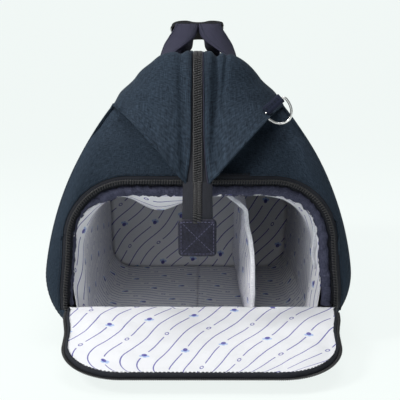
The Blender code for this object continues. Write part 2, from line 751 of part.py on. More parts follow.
def make_flap(sway):
    """Leather flap that closes over both handles, with its snap."""
    pivot = make_pivot("wrap_flap_pivot", Vector((0.0296, 0, GRIP_Z + 0.0034)))
    pivot.parent = sway
    pivot.matrix_parent_inverse = sway.matrix_world.inverted()
    over = [(0.0296, 0.0034), (0.0240, 0.0048), (0.0140, 0.0054), (0.0050, 0.0040),
            (-0.0050, 0.0040), (-0.0140, 0.0054), (-0.0255, 0.0048), (-0.0318, 0.0028),
            (-0.0326, -0.0010), (-0.0324, -0.0080)]
    shape = strip_outline([Vector((x, 0, GRIP_Z + rise)) for x, rise in over], 0.0016)
    ends = Vector((0, -GRIP_HALF, 0)), Vector((0, GRIP_HALF, 0))
    points, faces = extrude_solid(shape, *ends)
    make_object("wrap_flap", points, faces, GRIP, pivot)
    disc = []
    for k in range(16):
        angle = 2 * math.pi * k / 16
        disc.append(Vector((-0.0335, 0.0045 * math.cos(angle),
                            GRIP_Z - 0.0026 + 0.0045 * math.sin(angle))))
    points, faces = extrude_solid(disc, Vector((-GAP, 0, 0)), Vector((-0.0018, 0, 0)))
    make_object("wrap_snap", points, faces, NICKEL, pivot)


# ---- D-rings ------------------------------------------------------------------------------
def ring_frame(mirror):
    """Bar centre, bar direction and the direction in which the ring hangs."""
    bar = Vector((math.cos(RING_ANGLE), 0, math.sin(RING_ANGLE)))
    hang = Vector((math.sin(RING_ANGLE), 0, -math.cos(RING_ANGLE)))
    centre = Vector((0.0810, 0.0260 - HALF_LENGTH, 0.2470))
    if mirror:
        centre.y = -centre.y
    return centre, bar, hang


def make_ring(name, mirror):
    """A D of round wire whose straight bar is held by a loop of webbing."""
    centre, bar, hang = ring_frame(mirror)
    depth = Vector((0, 1, 0))
    half = RING_BAR / 2
    route = [centre - bar * half * (1 - k / 2) for k in range(5)]
    for k in range(1, 16):
        angle = math.pi * k / 16
        route.append(centre + bar * half * math.cos(angle) + hang * RING_DEPTH * math.sin(angle))
    stations = []
    for k, place in enumerate(route):
        ahead = (route[(k + 1) % len(route)] - route[k - 1]).normalized()
        side = ahead.cross(depth).normalized()
        stations.append([
            place + (side * math.cos(a) + depth * math.sin(a)) * RING_WIRE
            for a in (2 * math.pi * n / 8 for n in range(8))
        ])
    points, faces = loop_solid(stations)
    pivot = make_pivot(name + "_d_ring_pivot", centre)
    make_object(name + "_d_ring", points, faces, NICKEL, pivot)
    make_ring_tab(name, centre, bar, hang, depth)


def make_ring_tab(name, centre, bar, hang, depth):
    """Folded webbing round the ring's bar, sewn into the shoulder seam behind it."""
    inner = RING_WIRE + 0.0005
    thick = 0.0015
    middle = inner + thick / 2
    route = [-hang * 0.006 + depth * 0.0010, -hang * 0.003 + depth * middle]
    for k in range(9):
        angle = math.pi * k / 8
        route.append(depth * math.cos(angle) * middle + hang * math.sin(angle) * middle)
    route += [-hang * 0.003 - depth * middle, -hang * 0.006 - depth * 0.0010]
    left, right = [], []
    for k, place in enumerate(route):
        ahead = (route[min(k + 1, len(route) - 1)] - route[max(k - 1, 0)]).normalized()
        side = ahead.cross(bar).normalized() * thick / 2
        left.append(centre + place + side)
        right.append(centre + place - side)
    shape = left + right[::-1]
    points, faces = extrude_solid(shape, bar * -0.0108, bar * 0.0108)
    make_object(name + "_ring_tab", points, faces, STRAP)


# ---- Zip sliders --------------------------------------------------------------------------
def make_top_slider(name, y, direction):
    """A slider on the ridge, with its puller lying along the zip towards the bag's middle."""
    place = Vector((0, y, settled(zip_edge(1)).z))
    slide = make_pivot(name + "_slider_pivot", place)
    body = rounded_outline(0.0050, 0.0065, 0.002)
    points, faces = extrude_solid(
        body, place + Vector((0, 0, 0.0011)), place + Vector((0, 0, 0.0026)))
    make_object(name + "_slider", points, faces, NICKEL, slide)
    hinge = place + Vector((0, -0.0055 * direction, 0.0036))
    swing = make_pivot(name + "_puller_pivot", hinge)
    swing.parent = slide
    swing.matrix_parent_inverse = slide.matrix_world.inverted()
    plate = [p + Vector((0, 0.0125 * direction, 0)) for p in rounded_outline(0.0035, 0.013, 0.0025)]
    points, faces = extrude_solid(
        plate, hinge + Vector((0, 0, -0.0006)), hinge + Vector((0, 0, 0.0006)))
    make_object(name + "_puller", points, faces, NICKEL, swing)


def make_door_slider():
    """The U zip's slider, parked at the foot of its left leg below the door's hinge."""
    place = Vector((-0.1333, -HALF_LENGTH, 0.0240))
    tilt = Matrix.Rotation(math.radians(-23), 3, "Y")
    body = [tilt @ Vector((p.x, 0, p.y)) for p in rounded_outline(0.0050, 0.0065, 0.002)]
    points, faces = extrude_solid(
        body, place + Vector((0, -0.0063, 0)), place + Vector((0, -0.0033, 0)))
    make_object("door_slider", points, faces, NICKEL)
    hinge = place + Vector((0, -0.0072, 0.0050))
    swing = make_pivot("door_puller_pivot", hinge)
    plate = [Vector((p.x, 0, p.y - 0.0110)) for p in rounded_outline(0.0035, 0.0115, 0.0025)]
    points, faces = extrude_solid(
        plate, hinge + Vector((0, -0.0006, 0)), hinge + Vector((0, 0.0006, 0)))
    make_object("door_puller", points, faces, NICKEL, swing)


# ---- Whole bag ----------------------------------------------------------------------------
def build():
    clear_scene()
    make_side_panels()
    make_base_panel()
    make_base_board()
    cut(make_end_panel("shoe_end_panel"), mouth_cutter())
    make_end_panel("far_end_panel")
    make_mouth()
    make_main_lining()
    make_far_lining()
    make_pocket()
    make_divider()
    make_top_zip()
    make_tail("near_tail", False)
    make_tail("far_tail", True)
    make_door()
    make_handles()
    make_ring("near", False)
    make_ring("far", True)
    make_top_slider("near", 0.066, 1)
    make_top_slider("far", 0.112, -1)
    make_door_slider()


build()
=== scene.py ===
import math

import bmesh
import bpy
import numpy as np
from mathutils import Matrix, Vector, noise


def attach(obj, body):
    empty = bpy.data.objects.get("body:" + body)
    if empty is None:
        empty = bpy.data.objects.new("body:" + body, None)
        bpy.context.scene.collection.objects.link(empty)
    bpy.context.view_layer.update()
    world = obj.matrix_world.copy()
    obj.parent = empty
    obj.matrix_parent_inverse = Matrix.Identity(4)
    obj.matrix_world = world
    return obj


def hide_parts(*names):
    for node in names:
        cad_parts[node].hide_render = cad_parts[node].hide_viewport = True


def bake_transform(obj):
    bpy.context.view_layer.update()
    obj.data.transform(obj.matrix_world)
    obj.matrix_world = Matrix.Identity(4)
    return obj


# ---- Driving dimensions, in metres, with angles in degrees or radians -------------------------
# The outer form. An angle of outline() runs from -90 at the base's edge to 90 at the ridge.
LENGTH = 0.480
HALF_LENGTH = LENGTH / 2
RIDGE_Z = 0.300
HALF_WIDTH = 0.160
WIDEST_Z = 0.072
BASE_HALF = 0.087
SIDE_POWER = 1.02  # how full the side's curve is across
HEIGHT_POWER = 4 / 3  # and upwards
SILL_Z = 0.041  # the end's foremost line
SILL_ROUND = 0.006  # how far the end draws back below it
END_LEAN = 0.0909  # how much the end leans back for each metre up
TOP_LEAN = 0.052  # and what its top adds
EDGE_RADIUS = 0.020  # of the turn from an end into a side
SEAM_DX = 0.0030
SEAM_DY = EDGE_RADIUS - math.sqrt(EDGE_RADIUS**2 - (EDGE_RADIUS - SEAM_DX) ** 2)
SEAM_GAP = 0.0004  # between the end panel's edge and the side panel's
REGULAR_Y = 0.110  # from an end to where the section stops changing
RIDGE_SAG = 0.0045
CREST_TAPER = 0.085  # the filled bag's soft crest draws in towards the zip
SEAM_ANGLE = -46.0  # the seam between base and side
SHOULDER_ANGLE = 54.7  # where the fold that hangs over the end begins
TAPE_ANGLE = 87.5  # the seam between side and zip tape
MIDDLE = (0, 0, 0.12)  # a place inside the bag, which outer faces point away from
CLOTH = 0.0014  # thickness of the outer fabric
LINING = 0.0005
NARROW_STRIP = 0.010  # a strip of cloth narrower than this is trim

# The fold over the end
BEAK_TIP = (0.0110, -0.0240, 0.171)
FOLD_FULLNESS = 3.0
FOLD_BULGE = Vector((0, -0.014, 0.005))
FOLD_EDGE_START = (0.016, 0.178)  # where the right hanging edge leaves the beak, as x and z
FOLD_EDGE_WAY = (0.741, 0.671)  # and which way it goes
EDGE_LIFT = Vector((0.002, -0.0120, 0.0020))  # how far the right hanging edge stands off
LEFT_LIFT_SHARE = 0.25  # how much of that the left edge does
HOLLOW_DEPTH = 0.0140  # of the pocket behind the right hanging edge
HOLLOW_LENGTH = 0.092
HOLLOW_WIDTH = 0.024

# The compartment's mouth, its U zip and the door
ZIP_HALF = 0.0065
HINGE_Y = -0.004
HINGE_Z = 0.038
DOOR_LEAN = math.radians(5.2)
MOUTH_HALF_LOW = 0.1395
MOUTH_HALF_HIGH = 0.1362
MOUTH_TOP = 0.170
MOUTH_RADIUS = 0.062
MOUTH_SHIFT = 0.0030  # the open mouth and the door have slumped this far to the right
FABRIC_EDGE = 0.0055  # from the U zip's centre line to the end panel's folded edge
DOOR_STRETCH = 1.045  # the open door lies stretched by its own weight
DOOR_TAPER = 0.030  # the limp door draws in towards its front edge
DOOR_REST = 0.0140  # height of the open door's front edge
DOOR_EDGE_INSET = 0.0028  # of that edge from the U zip's centre line
DOOR_REACH = (MOUTH_TOP - HINGE_Z) / math.cos(DOOR_LEAN)
DOOR_SLOPE = math.asin((HINGE_Z - DOOR_REST) / (DOOR_REACH - DOOR_EDGE_INSET))

# The compartment
POCKET_DEPTH = 0.330
BACK_DEPTH = POCKET_DEPTH - 0.002  # where the lining meets its back wall
POCKET_HALF = 0.1205
POCKET_TOP = 0.153
POCKET_FLOOR = 0.0085
POCKET_CORNER = 0.050
LEFT_REACH = 0.0075  # the lining is drawn this much nearer to the zip on the left wall
CEILING_SAG = 0.0190  # of the ceiling over the left half of the shoes' bay
DIVIDER_X = 0.0491

# Handles and their leather wrap
WEBBING = 0.038
WEBBING_HALF_THICK = 0.0011
FOLDED_WIDTH = 0.0270  # the webbing is folded lengthwise inside the grip
FOLD_STACK = 2.6  # how much thicker than flat webbing its folded stack is
STRAP_Y = 0.088
GRIP_HALF = 0.046
GRIP_Z = 0.3305
GRIP_SAG = 0.004
WRAP_SAG = 0.010
LEATHER = 0.0014
FAR_DRAW = 0.46  # the share of its distance from the zip that the far webbing leans in by
FAR_DRAW_LIFT = 0.002

# D-rings
RING_BAR = 0.027
RING_DEPTH = 0.021
RING_ANGLE = math.radians(42)
RING_PLACE = (0.0782, HALF_LENGTH - 0.0262, 0.2462)  # the bar's middle, with y for the far end
WIRE_SIDES = 12

# Zips
COIL_PITCH = 0.0026  # of the top zip
OPEN_PITCH = 0.0027  # of the U zip's half on the bag
DOOR_PITCH = 0.00169  # and of its half on the door
COIL_HALF = 0.0035
COIL_GAP = 0.0004
TOOTH_RADIUS = 0.0010
SMALL_TOOTH = 0.00062  # of the door's half of the U zip
OPEN_TOOTH = 0.00080  # of the bag's half
TAPE_WIDTH = 0.029
TAPE = 0.0006  # thickness of tape and binding
THIN_TAPE = 0.0005
CORD_X = 0.0042  # of the sewn cord beside each half of the top coil
CORD_RADIUS = 0.0006
SLIDER_HALF = (0.0048, 0.0066)  # half width and half length of a slider's body
PLATE_HALF_WIDE = 0.0035  # of a puller's plate
PLATE_CORNER = 0.0022  # the rounding of both
PLATE = 0.0011  # thickness of a puller's plate
TAIL_REACH = 0.0650  # from the end's plane to the leather tab at the top zip's end
STITCH_RADIUS = 0.00034
STITCH_SINK = -0.00005

# Cloth looks
THREAD = 0.00045  # the shell's yarn
# painted light: the compartment's lining is the door's lining, painted a brighter white to light
# the shaded bay
INSIDE_WHITE_PAINTED_LIGHTER = (0.90, 0.905, 0.925, 1)
DOOR_WHITE = (0.80, 0.81, 0.84, 1)
SLUB_ACROSS = 900  # slubs for each metre across a thread
SLUB_ALONG = 80  # and along it
SLUB_SHARE = 0.20  # how much the slubs change the shade
DRIFT_SHARE = 0.15  # and how much it changes slowly over the cloth
REPEAT = 0.048  # of the print's blots and rings along a line
DOOR_PRINT_TURN = math.radians(31)
LINE_HALF = 0.00042  # the printed lines
LINE_BLUR = 0.00075

# Stage
FLOOR_GLOW = 0.905
CAMERA_PLACE = (0.004, -1.1775, 0.3006)
CAMERA_PITCH = math.radians(8.97)
CAMERA_TURN = math.radians(0.10)
CAMERA_LENS = 84.6

UP = Vector((0, 0, 1))
ALONG_X = Vector((1, 0, 0))
ALONG_Y = Vector((0, 1, 0))
BAR_WAY = Vector((math.cos(RING_ANGLE), 0, math.sin(RING_ANGLE)))
HANG_WAY = Vector((math.sin(RING_ANGLE), 0, -math.cos(RING_ANGLE)))


# ---- The bag's shape ----------------------------------------------------------------------
def outline(angle):
    """Half width and height of the middle section. -90 is the base's edge and 90 the ridge."""
    turn = math.radians(min(angle, 90))
    if angle < 0:
        side = BASE_HALF + (HALF_WIDTH - BASE_HALF) * math.cos(turn)
        return side, WIDEST_Z * (1 + math.sin(turn))
    side = HALF_WIDTH * max(0.0, math.cos(turn)) ** SIDE_POWER
    return side, WIDEST_Z + (RIDGE_Z - WIDEST_Z) * math.sin(turn) ** HEIGHT_POWER


def half_width(z):
    """The middle section's half width at a height."""
    if z < WIDEST_Z:
        part = (WIDEST_Z - z) / WIDEST_Z
        return BASE_HALF + (HALF_WIDTH - BASE_HALF) * math.sqrt(max(0.0, 1 - part * part))
    part = min(1.0, (z - WIDEST_Z) / (RIDGE_Z - WIDEST_Z))
    return HALF_WIDTH * (1 - part ** (2 / HEIGHT_POWER)) ** (SIDE_POWER / 2)


def lean(z):
    """How far the end stands back from its foremost line, at a height."""
    if z < SILL_Z:
        part = (SILL_Z - z) / SILL_Z
        return SILL_ROUND * (1 - math.sqrt(max(0.0, 1 - part * part)))
    rise = z - SILL_Z
    return END_LEAN * rise + TOP_LEAN * (max(0.0, rise - 0.132) / 0.119) ** 1.6


def rounding(distance):
    """How far the rounded edge recedes, at a distance from the corner's tangent plane."""
    if distance >= EDGE_RADIUS:
        return 0.0
    left = EDGE_RADIUS - max(0.0, distance)
    return EDGE_RADIUS - math.sqrt(max(0.0, EDGE_RADIUS**2 - left * left))


def end_y(x, z):
    """The near end's y at a place on it."""
    return lean(z) + rounding(half_width(z) - abs(x)) - HALF_LENGTH


def smoothstep(value):
    """0 below 0 and 1 above 1, with a smooth change between them."""
    value = min(1.0, max(0.0, value))
    return value * value * (3 - 2 * value)


def bump(value, centre, width):
    """1 at the centre, falling smoothly to nothing at a distance of width."""
    return smoothstep(1 - abs(value - centre) / width)


def uneven(x, y, z, seed=Vector((0, 0, 0))):
    """Smooth random height between about -1 and 1."""
    return noise.noise(Vector((x, y, z)) + seed)


def settled(place):
    """The ridge hangs a little between its two crests."""
    from_end = HALF_LENGTH - abs(place.y)
    sag = RIDGE_SAG * smoothstep((from_end - 0.080) / 0.040)
    narrowed = 1 - CREST_TAPER * smoothstep((place.z - 0.256) / 0.018)
    drop = sag * max(0.0, (place.z - 0.246) / 0.054)
    return Vector((place.x * narrowed, place.y, place.z - drop))


def smooth_path(knots, per_span):
    """Places on a Catmull-Rom curve through the knots."""
    knots = [Vector(k) for k in knots]
    ends = [2 * knots[0] - knots[1]] + knots + [2 * knots[-1] - knots[-2]]
    places = []
    for p0, p1, p2, p3 in zip(ends, ends[1:], ends[2:], ends[3:]):
        for k in range(per_span):
            t = k / per_span
            places.append(
                0.5 * (2 * p1 + (p2 - p0) * t + (2 * p0 - 5 * p1 + 4 * p2 - p3) * t * t
                       + (3 * p1 - p0 - 3 * p2 + p3) * t * t * t)
            )
    return places + [knots[-1]]


def reach_along(path):
    """The distance along a path to each of its places."""
    return np.concatenate([[0], np.cumsum([(b - a).length for a, b in zip(path, path[1:])])])


def evenly(path, count):
    """count places at equal distances along a path."""
    reach = reach_along(path)
    wanted = np.linspace(0, reach[-1], count)
    columns = [np.interp(wanted, reach, [p[axis] for p in path]) for axis in range(3)]
    return [Vector(p) for p in zip(*columns)]


def path_length(path):
    return sum((b - a).length for a, b in zip(path, path[1:]))


CREST = smooth_path(
    [(0, -0.024, 0.171), (0, -0.011, 0.186), (0, 0.007, 0.218), (0, 0.020, 0.250),
     (0, 0.033, 0.282), (0, 0.046, 0.2965), (0, 0.066, 0.3000), (0, REGULAR_Y, 0.2997)], 8)
CREST_REACH = reach_along(CREST)


def zip_edge(part):
    """The side panel's edge beside the top zip, from the beak's tip to the middle section."""
    want = min(1.0, max(0.0, part)) * CREST_REACH[-1]
    y = float(np.interp(want, CREST_REACH, [p.y for p in CREST]))
    z = float(np.interp(want, CREST_REACH, [p.z for p in CREST]))
    spread = (BEAK_TIP[0] - ZIP_HALF) * max(0.0, 1 - part * 3.2) ** 1.5
    return Vector((ZIP_HALF + spread, y - HALF_LENGTH, z))


def section_place(part, angle):
    """The right side panel below the fold. part runs from 0 at the end seam to 1."""
    x, z = outline(angle)
    span = REGULAR_Y - lean(z) - SEAM_DY
    depth = SEAM_DY + span * part * (0.25 + 0.75 * max(0.0, part))
    return Vector((x - rounding(depth), lean(z) + depth - HALF_LENGTH, z))


def fold_place(part, angle):
    """The right half of the fold that hangs over the end, and the side panel above it."""
    up = min(1.0, (angle - SHOULDER_ANGLE) / (TAPE_ANGLE - SHOULDER_ANGLE))
    shoulder, low_far = section_place(0, SHOULDER_ANGLE), section_place(1, SHOULDER_ANGLE)
    tip, top_far = zip_edge(0), zip_edge(1)
    far_x, far_z = outline(angle)
    low, high = section_place(part, SHOULDER_ANGLE), zip_edge(part)
    near = shoulder.lerp(tip, up) + FOLD_BULGE * math.sin(math.pi * up)
    far = Vector((far_x, REGULAR_Y - HALF_LENGTH, far_z)) if up < 0.999 else top_far
    share = 1 - (1 - up) ** FOLD_FULLNESS
    flat = (shoulder * (1 - part) * (1 - share) + tip * (1 - part) * share
            + low_far * part * (1 - share) + top_far * part * share)
    return low * (1 - share) + high * share + near * (1 - part) + far * part - flat


def side_place(part, angle):
    """The whole right side panel. part runs from 0 to 1 over the near end, to 2 along the
    straight middle and to 3 over the far end. Below 0 and above 3 the edge turns under."""
    from_end = part if part <= 1 else 3 - part if part >= 2 else 1
    turned = max(0.0, -from_end)
    from_end = max(0.0, from_end)
    shape = section_place if angle <= SHOULDER_ANGLE else fold_place
    place = shape(from_end, angle)
    if turned:
        place = turned_under(place, turned, angle)
    if part >= 2:
        place.y = -place.y
    elif part > 1:
        place.y *= 3 - 2 * part
    return settled(place)


def turned_under(place, turned, angle):
    """The hem behind the end seam, or the underside of the hanging fold."""
    up = smoothstep((angle - SHOULDER_ANGLE) / 3)
    hem = place + Vector((-0.0035, 0.0020, 0)) * turned
    wall = Vector((place.x * 0.97, lean(place.z) + 0.0035 - HALF_LENGTH, place.z + 0.004))
    under = place.lerp(wall, smoothstep(turned)) - UP * 0.0022 * math.sin(math.pi * turned)
    return hem.lerp(under, up)


# ---- Mesh helpers -------------------------------------------------------------------------
def surface_grid(place, first, second):
    """place(a, b) for every a of first and every b of second."""
    return np.array([[place(a, b) for b in second] for a in first], float)


def grid_from(rows):
    """Rows of places as one array."""
    return np.array([[tuple(p) for p in row] for row in rows], float)


def grid_normals(grid, centre):
    """Unit normals of a grid of places, pointing away from centre."""
    along = np.gradient(grid, axis=0)
    across = np.gradient(grid, axis=1)
    normals = np.cross(along, across)
    normals /= np.maximum(np.linalg.norm(normals, axis=2, keepdims=True), 1e-12)
    if (normals * (grid - np.array(centre))).sum() < 0:
        normals = -normals
    return normals


def raised(grid, centre, height):
    """The grid moved along its normals by height(i, j, place)."""
    normals = grid_normals(grid, centre)
    lifts = np.array([[height(i, j, Vector(grid[i, j])) for j in range(grid.shape[1])]
                      for i in range(grid.shape[0])])
    return grid + normals * lifts[:, :, None]


def grid_uv(grid):
    """Places on the cloth in metres: the distance along the middle column and the middle row."""
    rows, columns = grid.shape[:2]
    middle_row = grid[rows // 2]
    middle_column = grid[:, columns // 2]
    u = np.concatenate([[0], np.cumsum(np.linalg.norm(np.diff(middle_column, axis=0), axis=1))])
    v = np.concatenate([[0], np.cumsum(np.linalg.norm(np.diff(middle_row, axis=0), axis=1))])
    return np.stack(np.meshgrid(u, v, indexing="ij"), axis=2)


def new_object(name, points, faces, look, uvs=None, smooth=True):
    """A mesh object in the scene, with its look and its cloth coordinates."""
    mesh = bpy.data.meshes.new(name)
    mesh.from_pydata([tuple(p) for p in points], [], faces)
    if uvs is not None:
        layer = mesh.uv_layers.new(name="cloth")
        corners = np.zeros(len(mesh.loops), int)
        mesh.loops.foreach_get("vertex_index", corners)
        layer.data.foreach_set("uv", np.asarray(uvs, float)[corners].ravel())
    if smooth:
        mesh.shade_smooth()
    mesh.materials.append(look)
    piece = bpy.data.objects.new(name, mesh)
    bpy.context.scene.collection.objects.link(piece)
    return piece


def grid_faces(rows, columns, closed=False):
    """The faces between a grid's points. A closed grid joins its last column to its first."""
    faces = []
    for i in range(rows - 1):
        for j in range(columns if closed else columns - 1):
            after = (j + 1) % columns
            faces.append((i * columns + j, (i + 1) * columns + j,
                          (i + 1) * columns + after, i * columns + after))
    return faces


def cloth_piece(name, grid, look, thickness, flip=False):
    """A sheet through a grid of places. Its thickness goes to the side away from its normals."""
    rows, columns = grid.shape[:2]
    faces = grid_faces(rows, columns)
    if flip:
        faces = [face[::-1] for face in faces]
    piece = new_object(name, grid.reshape(-1, 3), faces, look, grid_uv(grid).reshape(-1, 2))
    if thickness:
        solid = piece.modifiers.new("thickness", "SOLIDIFY")
        solid.thickness = thickness
        solid.offset = -1
    return piece


def spread(grid):
    """Width and length of a strip of cloth laid flat."""
    middle_row, middle_column = grid[grid.shape[0] // 2], grid[:, grid.shape[1] // 2]
    return tuple(round(float(np.linalg.norm(np.diff(line, axis=0), axis=1).sum()), 4)
                 for line in (middle_column, middle_row))


def taut(piece, grid, *rests_on):
    """Works out the flat size of a strip of cloth that is sewn or stretched flat, and keeps
    nothing.
    """
    if min(spread(grid)) >= NARROW_STRIP:
        spread(grid)


def facing(grid, direction):
    """Whether the faces of a grid have to be flipped to face a direction, on the whole."""
    normal = np.cross(np.gradient(grid, axis=0), np.gradient(grid, axis=1))
    return bool((normal * np.array(direction)).sum() < 0)


def facing_out(grid, centre):
    """Whether the faces of a grid have to be flipped to point away from centre."""
    normal = np.cross(np.gradient(grid, axis=0), np.gradient(grid, axis=1))
    return bool((normal * (grid - np.array(centre))).sum() < 0)


def frames_along(path, side_hint):
    """Ahead, side and normal directions at each place of a path. side_hint is one or many."""
    frames = []
    for k in range(len(path)):
        ahead = (path[min(k + 1, len(path) - 1)] - path[max(k - 1, 0)]).normalized()
        side = side_hint[k] if isinstance(side_hint, list) else side_hint
        side = (side - ahead * side.dot(ahead)).normalized()
        frames.append((ahead, side, side.cross(ahead).normalized()))
    return frames


def swept(name, path, frames, section, look, scale=None):
    """A solid along a path. section is a closed list of (side, normal) offsets; scale gives
    their two factors at a share of the path."""
    count = len(section)
    lengths = reach_along(path)
    round_it = np.concatenate([[0], np.cumsum([math.dist(a, b) for a, b in
                                              zip(section, section[1:])])])
    points, uvs = [], []
    for k, (place, (_, side, normal)) in enumerate(zip(path, frames)):
        wide, thick = scale(k / (len(path) - 1)) if scale else (1.0, 1.0)
        for n, (s, h) in enumerate(section):
            points.append(place + side * s * wide + normal * h * thick)
            uvs.append((round_it[n], lengths[k]))
    faces = grid_faces(len(path), count, closed=True)
    faces.append(tuple(range(count)))
    faces.append(tuple(range(len(points) - 1, len(points) - count - 1, -1)))
    return new_object(name, points, faces, look, uvs)


def strip_section(half_wide, half_thick):
    """A strip's cross-section with softened corners, going round once."""
    soft = half_thick * 0.6
    return [(half_wide, -half_thick + soft), (half_wide, half_thick - soft),
            (half_wide - soft, half_thick), (0, half_thick), (-half_wide + soft, half_thick),
            (-half_wide, half_thick - soft), (-half_wide, -half_thick + soft),
            (-half_wide + soft, -half_thick), (0, -half_thick), (half_wide - soft, -half_thick)]


def round_section(radius, count=8):
    return [(radius * math.cos(2 * math.pi * k / count), radius * math.sin(2 * math.pi * k / count))
            for k in range(count)]


def capsules(name, ends, radius, look, up=UP, sides=6):
    """Many small round-ended rods as one mesh: coil teeth or stitches, from a list of (a, b)."""
    points, faces = [], []
    for a, b in ends:
        ahead = (b - a).normalized()
        side = ahead.cross(up)
        side = side.normalized() if side.length > 1e-6 else ALONG_X
        normal = side.cross(ahead)
        start = len(points)
        tip = ahead * radius * 0.8
        for centre, size in ((a - tip, radius * 0.45), (a, radius), (b, radius),
                             (b + tip, radius * 0.45)):
            for k in range(sides):
                turn = 2 * math.pi * k / sides
                points.append(centre + (side * math.cos(turn) + normal * math.sin(turn)) * size)
        for low in range(start, start + 3 * sides, sides):
            for k in range(sides):
                after = (k + 1) % sides
                faces.append((low + k, low + after, low + sides + after, low + sides + k))
        faces.append(tuple(start + k for k in reversed(range(sides))))
        faces.append(tuple(start + 3 * sides + k for k in range(sides)))
    uvs = [(p.x + p.y, p.z + p.y) for p in points]
    return new_object(name, points, faces, look, uvs)


def stitch_ends(path, stitch=0.0026, gap=0.0014):
    """(a, b) of each stitch along a path."""
    length = path_length(path)
    count = max(2, int(length / (stitch + gap)))
    places = evenly(path, count * 2 + 1)
    ends = []
    for k in range(count):
        a, b = places[2 * k], places[2 * k + 1]
        b = a + (b - a) * min(1.0, 2 * stitch / (stitch + gap))
        ends.append((a, b))
    return ends


def coil_ends(path, frames, low, high, pitch, shift=0.0, slant=0.0004):
    """Teeth across a path between the side offsets low and high, one at each pitch."""
    length = path_length(path)
    count = int(length / pitch)
    reach = reach_along(path)
    ends = []
    for k in range(count):
        want = (k + 0.5 + shift) * pitch
        if want > length:
            break
        i = min(int(np.searchsorted(reach, want)) - 1, len(path) - 2)
        part = (want - reach[i]) / max(reach[i + 1] - reach[i], 1e-9)
        place = path[i].lerp(path[i + 1], part)
        ahead, side, _ = frames[i]
        ends.append((place + side * low - ahead * slant, place + side * high + ahead * slant))
    return ends


def chain_ends(path, frames):
    """The teeth of both halves of a closed zip, which take turns along it."""
    ends = coil_ends(path, frames, COIL_GAP, COIL_HALF, COIL_PITCH)
    return ends + coil_ends(path, frames, -COIL_HALF, -COIL_GAP, COIL_PITCH, shift=0.5)


def upwards(frames):
    """The frames' normals, turned so that they point up."""
    return [normal if normal.z > 0 else -normal for _, _, normal in frames]


def swapped(place):
    """The same place on the bag's other side."""
    return Vector((-place.x, place.y, place.z))


# ---- Materials ----------------------------------------------------------------------------
class Value:
    """A number that changes over a surface. Arithmetic with it adds nodes to its look."""

    def __init__(self, look, socket):
        self.look = look
        self.socket = socket

    def __add__(self, other):
        return self.look.calc("ADD", self, other)

    def __sub__(self, other):
        return self.look.calc("SUBTRACT", self, other)

    def __rsub__(self, other):
        return self.look.calc("SUBTRACT", other, self)

    def __mul__(self, other):
        return self.look.calc("MULTIPLY", self, other)

    def __truediv__(self, other):
        return self.look.calc("DIVIDE", self, other)

    def __mod__(self, other):
        return self.look.calc("FLOORED_MODULO", self, other)

    def __abs__(self):
        return self.look.calc("ABSOLUTE", self)


class Look:
    """A Principled material whose nodes are added one call at a time."""

    def __init__(self, name, roughness=0.8, metallic=0.0, specular=0.5):
        self.material = bpy.data.materials.new(name)
        self.material.use_nodes = True
        self.tree = self.material.node_tree
        self.shader = self.tree.nodes["Principled BSDF"]
        for socket, value in (("Roughness", roughness), ("Metallic", metallic),
                              ("Specular IOR Level", specular)):
            self.shader.inputs[socket].default_value = value
        self.uv = self.node("ShaderNodeUVMap", uv_map="cloth").outputs["UV"]

    def node(self, kind, inputs=None, **settings):
        made = self.tree.nodes.new(kind)
        for key, value in settings.items():
            setattr(made, key, value)
        for key, value in (inputs or {}).items():
            self.put(made.inputs[key], value)
        return made

    def put(self, socket, value):
        if isinstance(value, Value):
            value = value.socket
        if isinstance(value, bpy.types.NodeSocket):
            self.tree.links.new(value, socket)
        else:
            socket.default_value = value

    def set(self, socket, value):
        self.put(self.shader.inputs[socket], value)

    def calc(self, operation, a, b=0.0, clamp=False):
        made = self.node("ShaderNodeMath", {0: a, 1: b}, operation=operation, use_clamp=clamp)
        return Value(self, made.outputs[0])

    def highest(self, value, *others):
        for other in others:
            value = self.calc("MAXIMUM", value, other)
        return value

    def scaled(self, vector, factors, turn=0.0, shift=(0, 0, 0)):
        return self.node("ShaderNodeMapping", {"Vector": vector, "Scale": factors,
                                               "Rotation": (0, 0, turn),
                                               "Location": shift}).outputs[0]

    def noise(self, vector, scale, detail=2.0):
        made = self.node("ShaderNodeTexNoise", {"Vector": vector, "Scale": scale,
                                                "Detail": detail, "Roughness": 0.5})
        return Value(self, made.outputs["Fac"])

    def streaks(self, across, along, detail=2.0):
        """Noise with this many grains to the metre across the cloth and along it."""
        return self.noise(self.scaled(self.uv, (across, along, 1)), 1.0, detail)

    def mix(self, factor, a, b):
        made = self.node("ShaderNodeMix", {0: factor}, data_type="RGBA")
        self.put(made.inputs[6], a)
        self.put(made.inputs[7], b)
        return made.outputs[2]

    def between(self, value, low, high, out_low=0.0, out_high=1.0):
        made = self.node("ShaderNodeMapRange", {0: value, 1: low, 2: high, 3: out_low,
                                                4: out_high})
        return Value(self, made.outputs[0])

    def ripple(self, value, period):
        """A sine between -1 and 1 of a distance in metres."""
        return self.calc("SINE", value * (2 * math.pi / period))

    def relief(self, height, depth, strength=1.0):
        made = self.node("ShaderNodeBump", {"Strength": strength, "Distance": depth,
                                            "Height": height})
        self.set("Normal", made.outputs[0])

    def split(self, vector):
        """A vector's first two coordinates."""
        made = self.node("ShaderNodeSeparateXYZ", {0: vector})
        return Value(self, made.outputs[0]), Value(self, made.outputs[1])


def linear(red, green, blue):
    """A shader colour from the usual 0 to 255 scale."""
    def one(value):
        value /= 255
        return value / 12.92 if value <= 0.04045 else ((value + 0.055) / 1.055) ** 2.4
    return (one(red), one(green), one(blue), 1)


def weave_height(look, thread):
    """Plain weave: each crossing of threads stands up or dips."""
    u, v = look.split(look.uv)
    return look.between(look.ripple(u, 2 * thread) * look.ripple(v, 2 * thread), -1, 1)


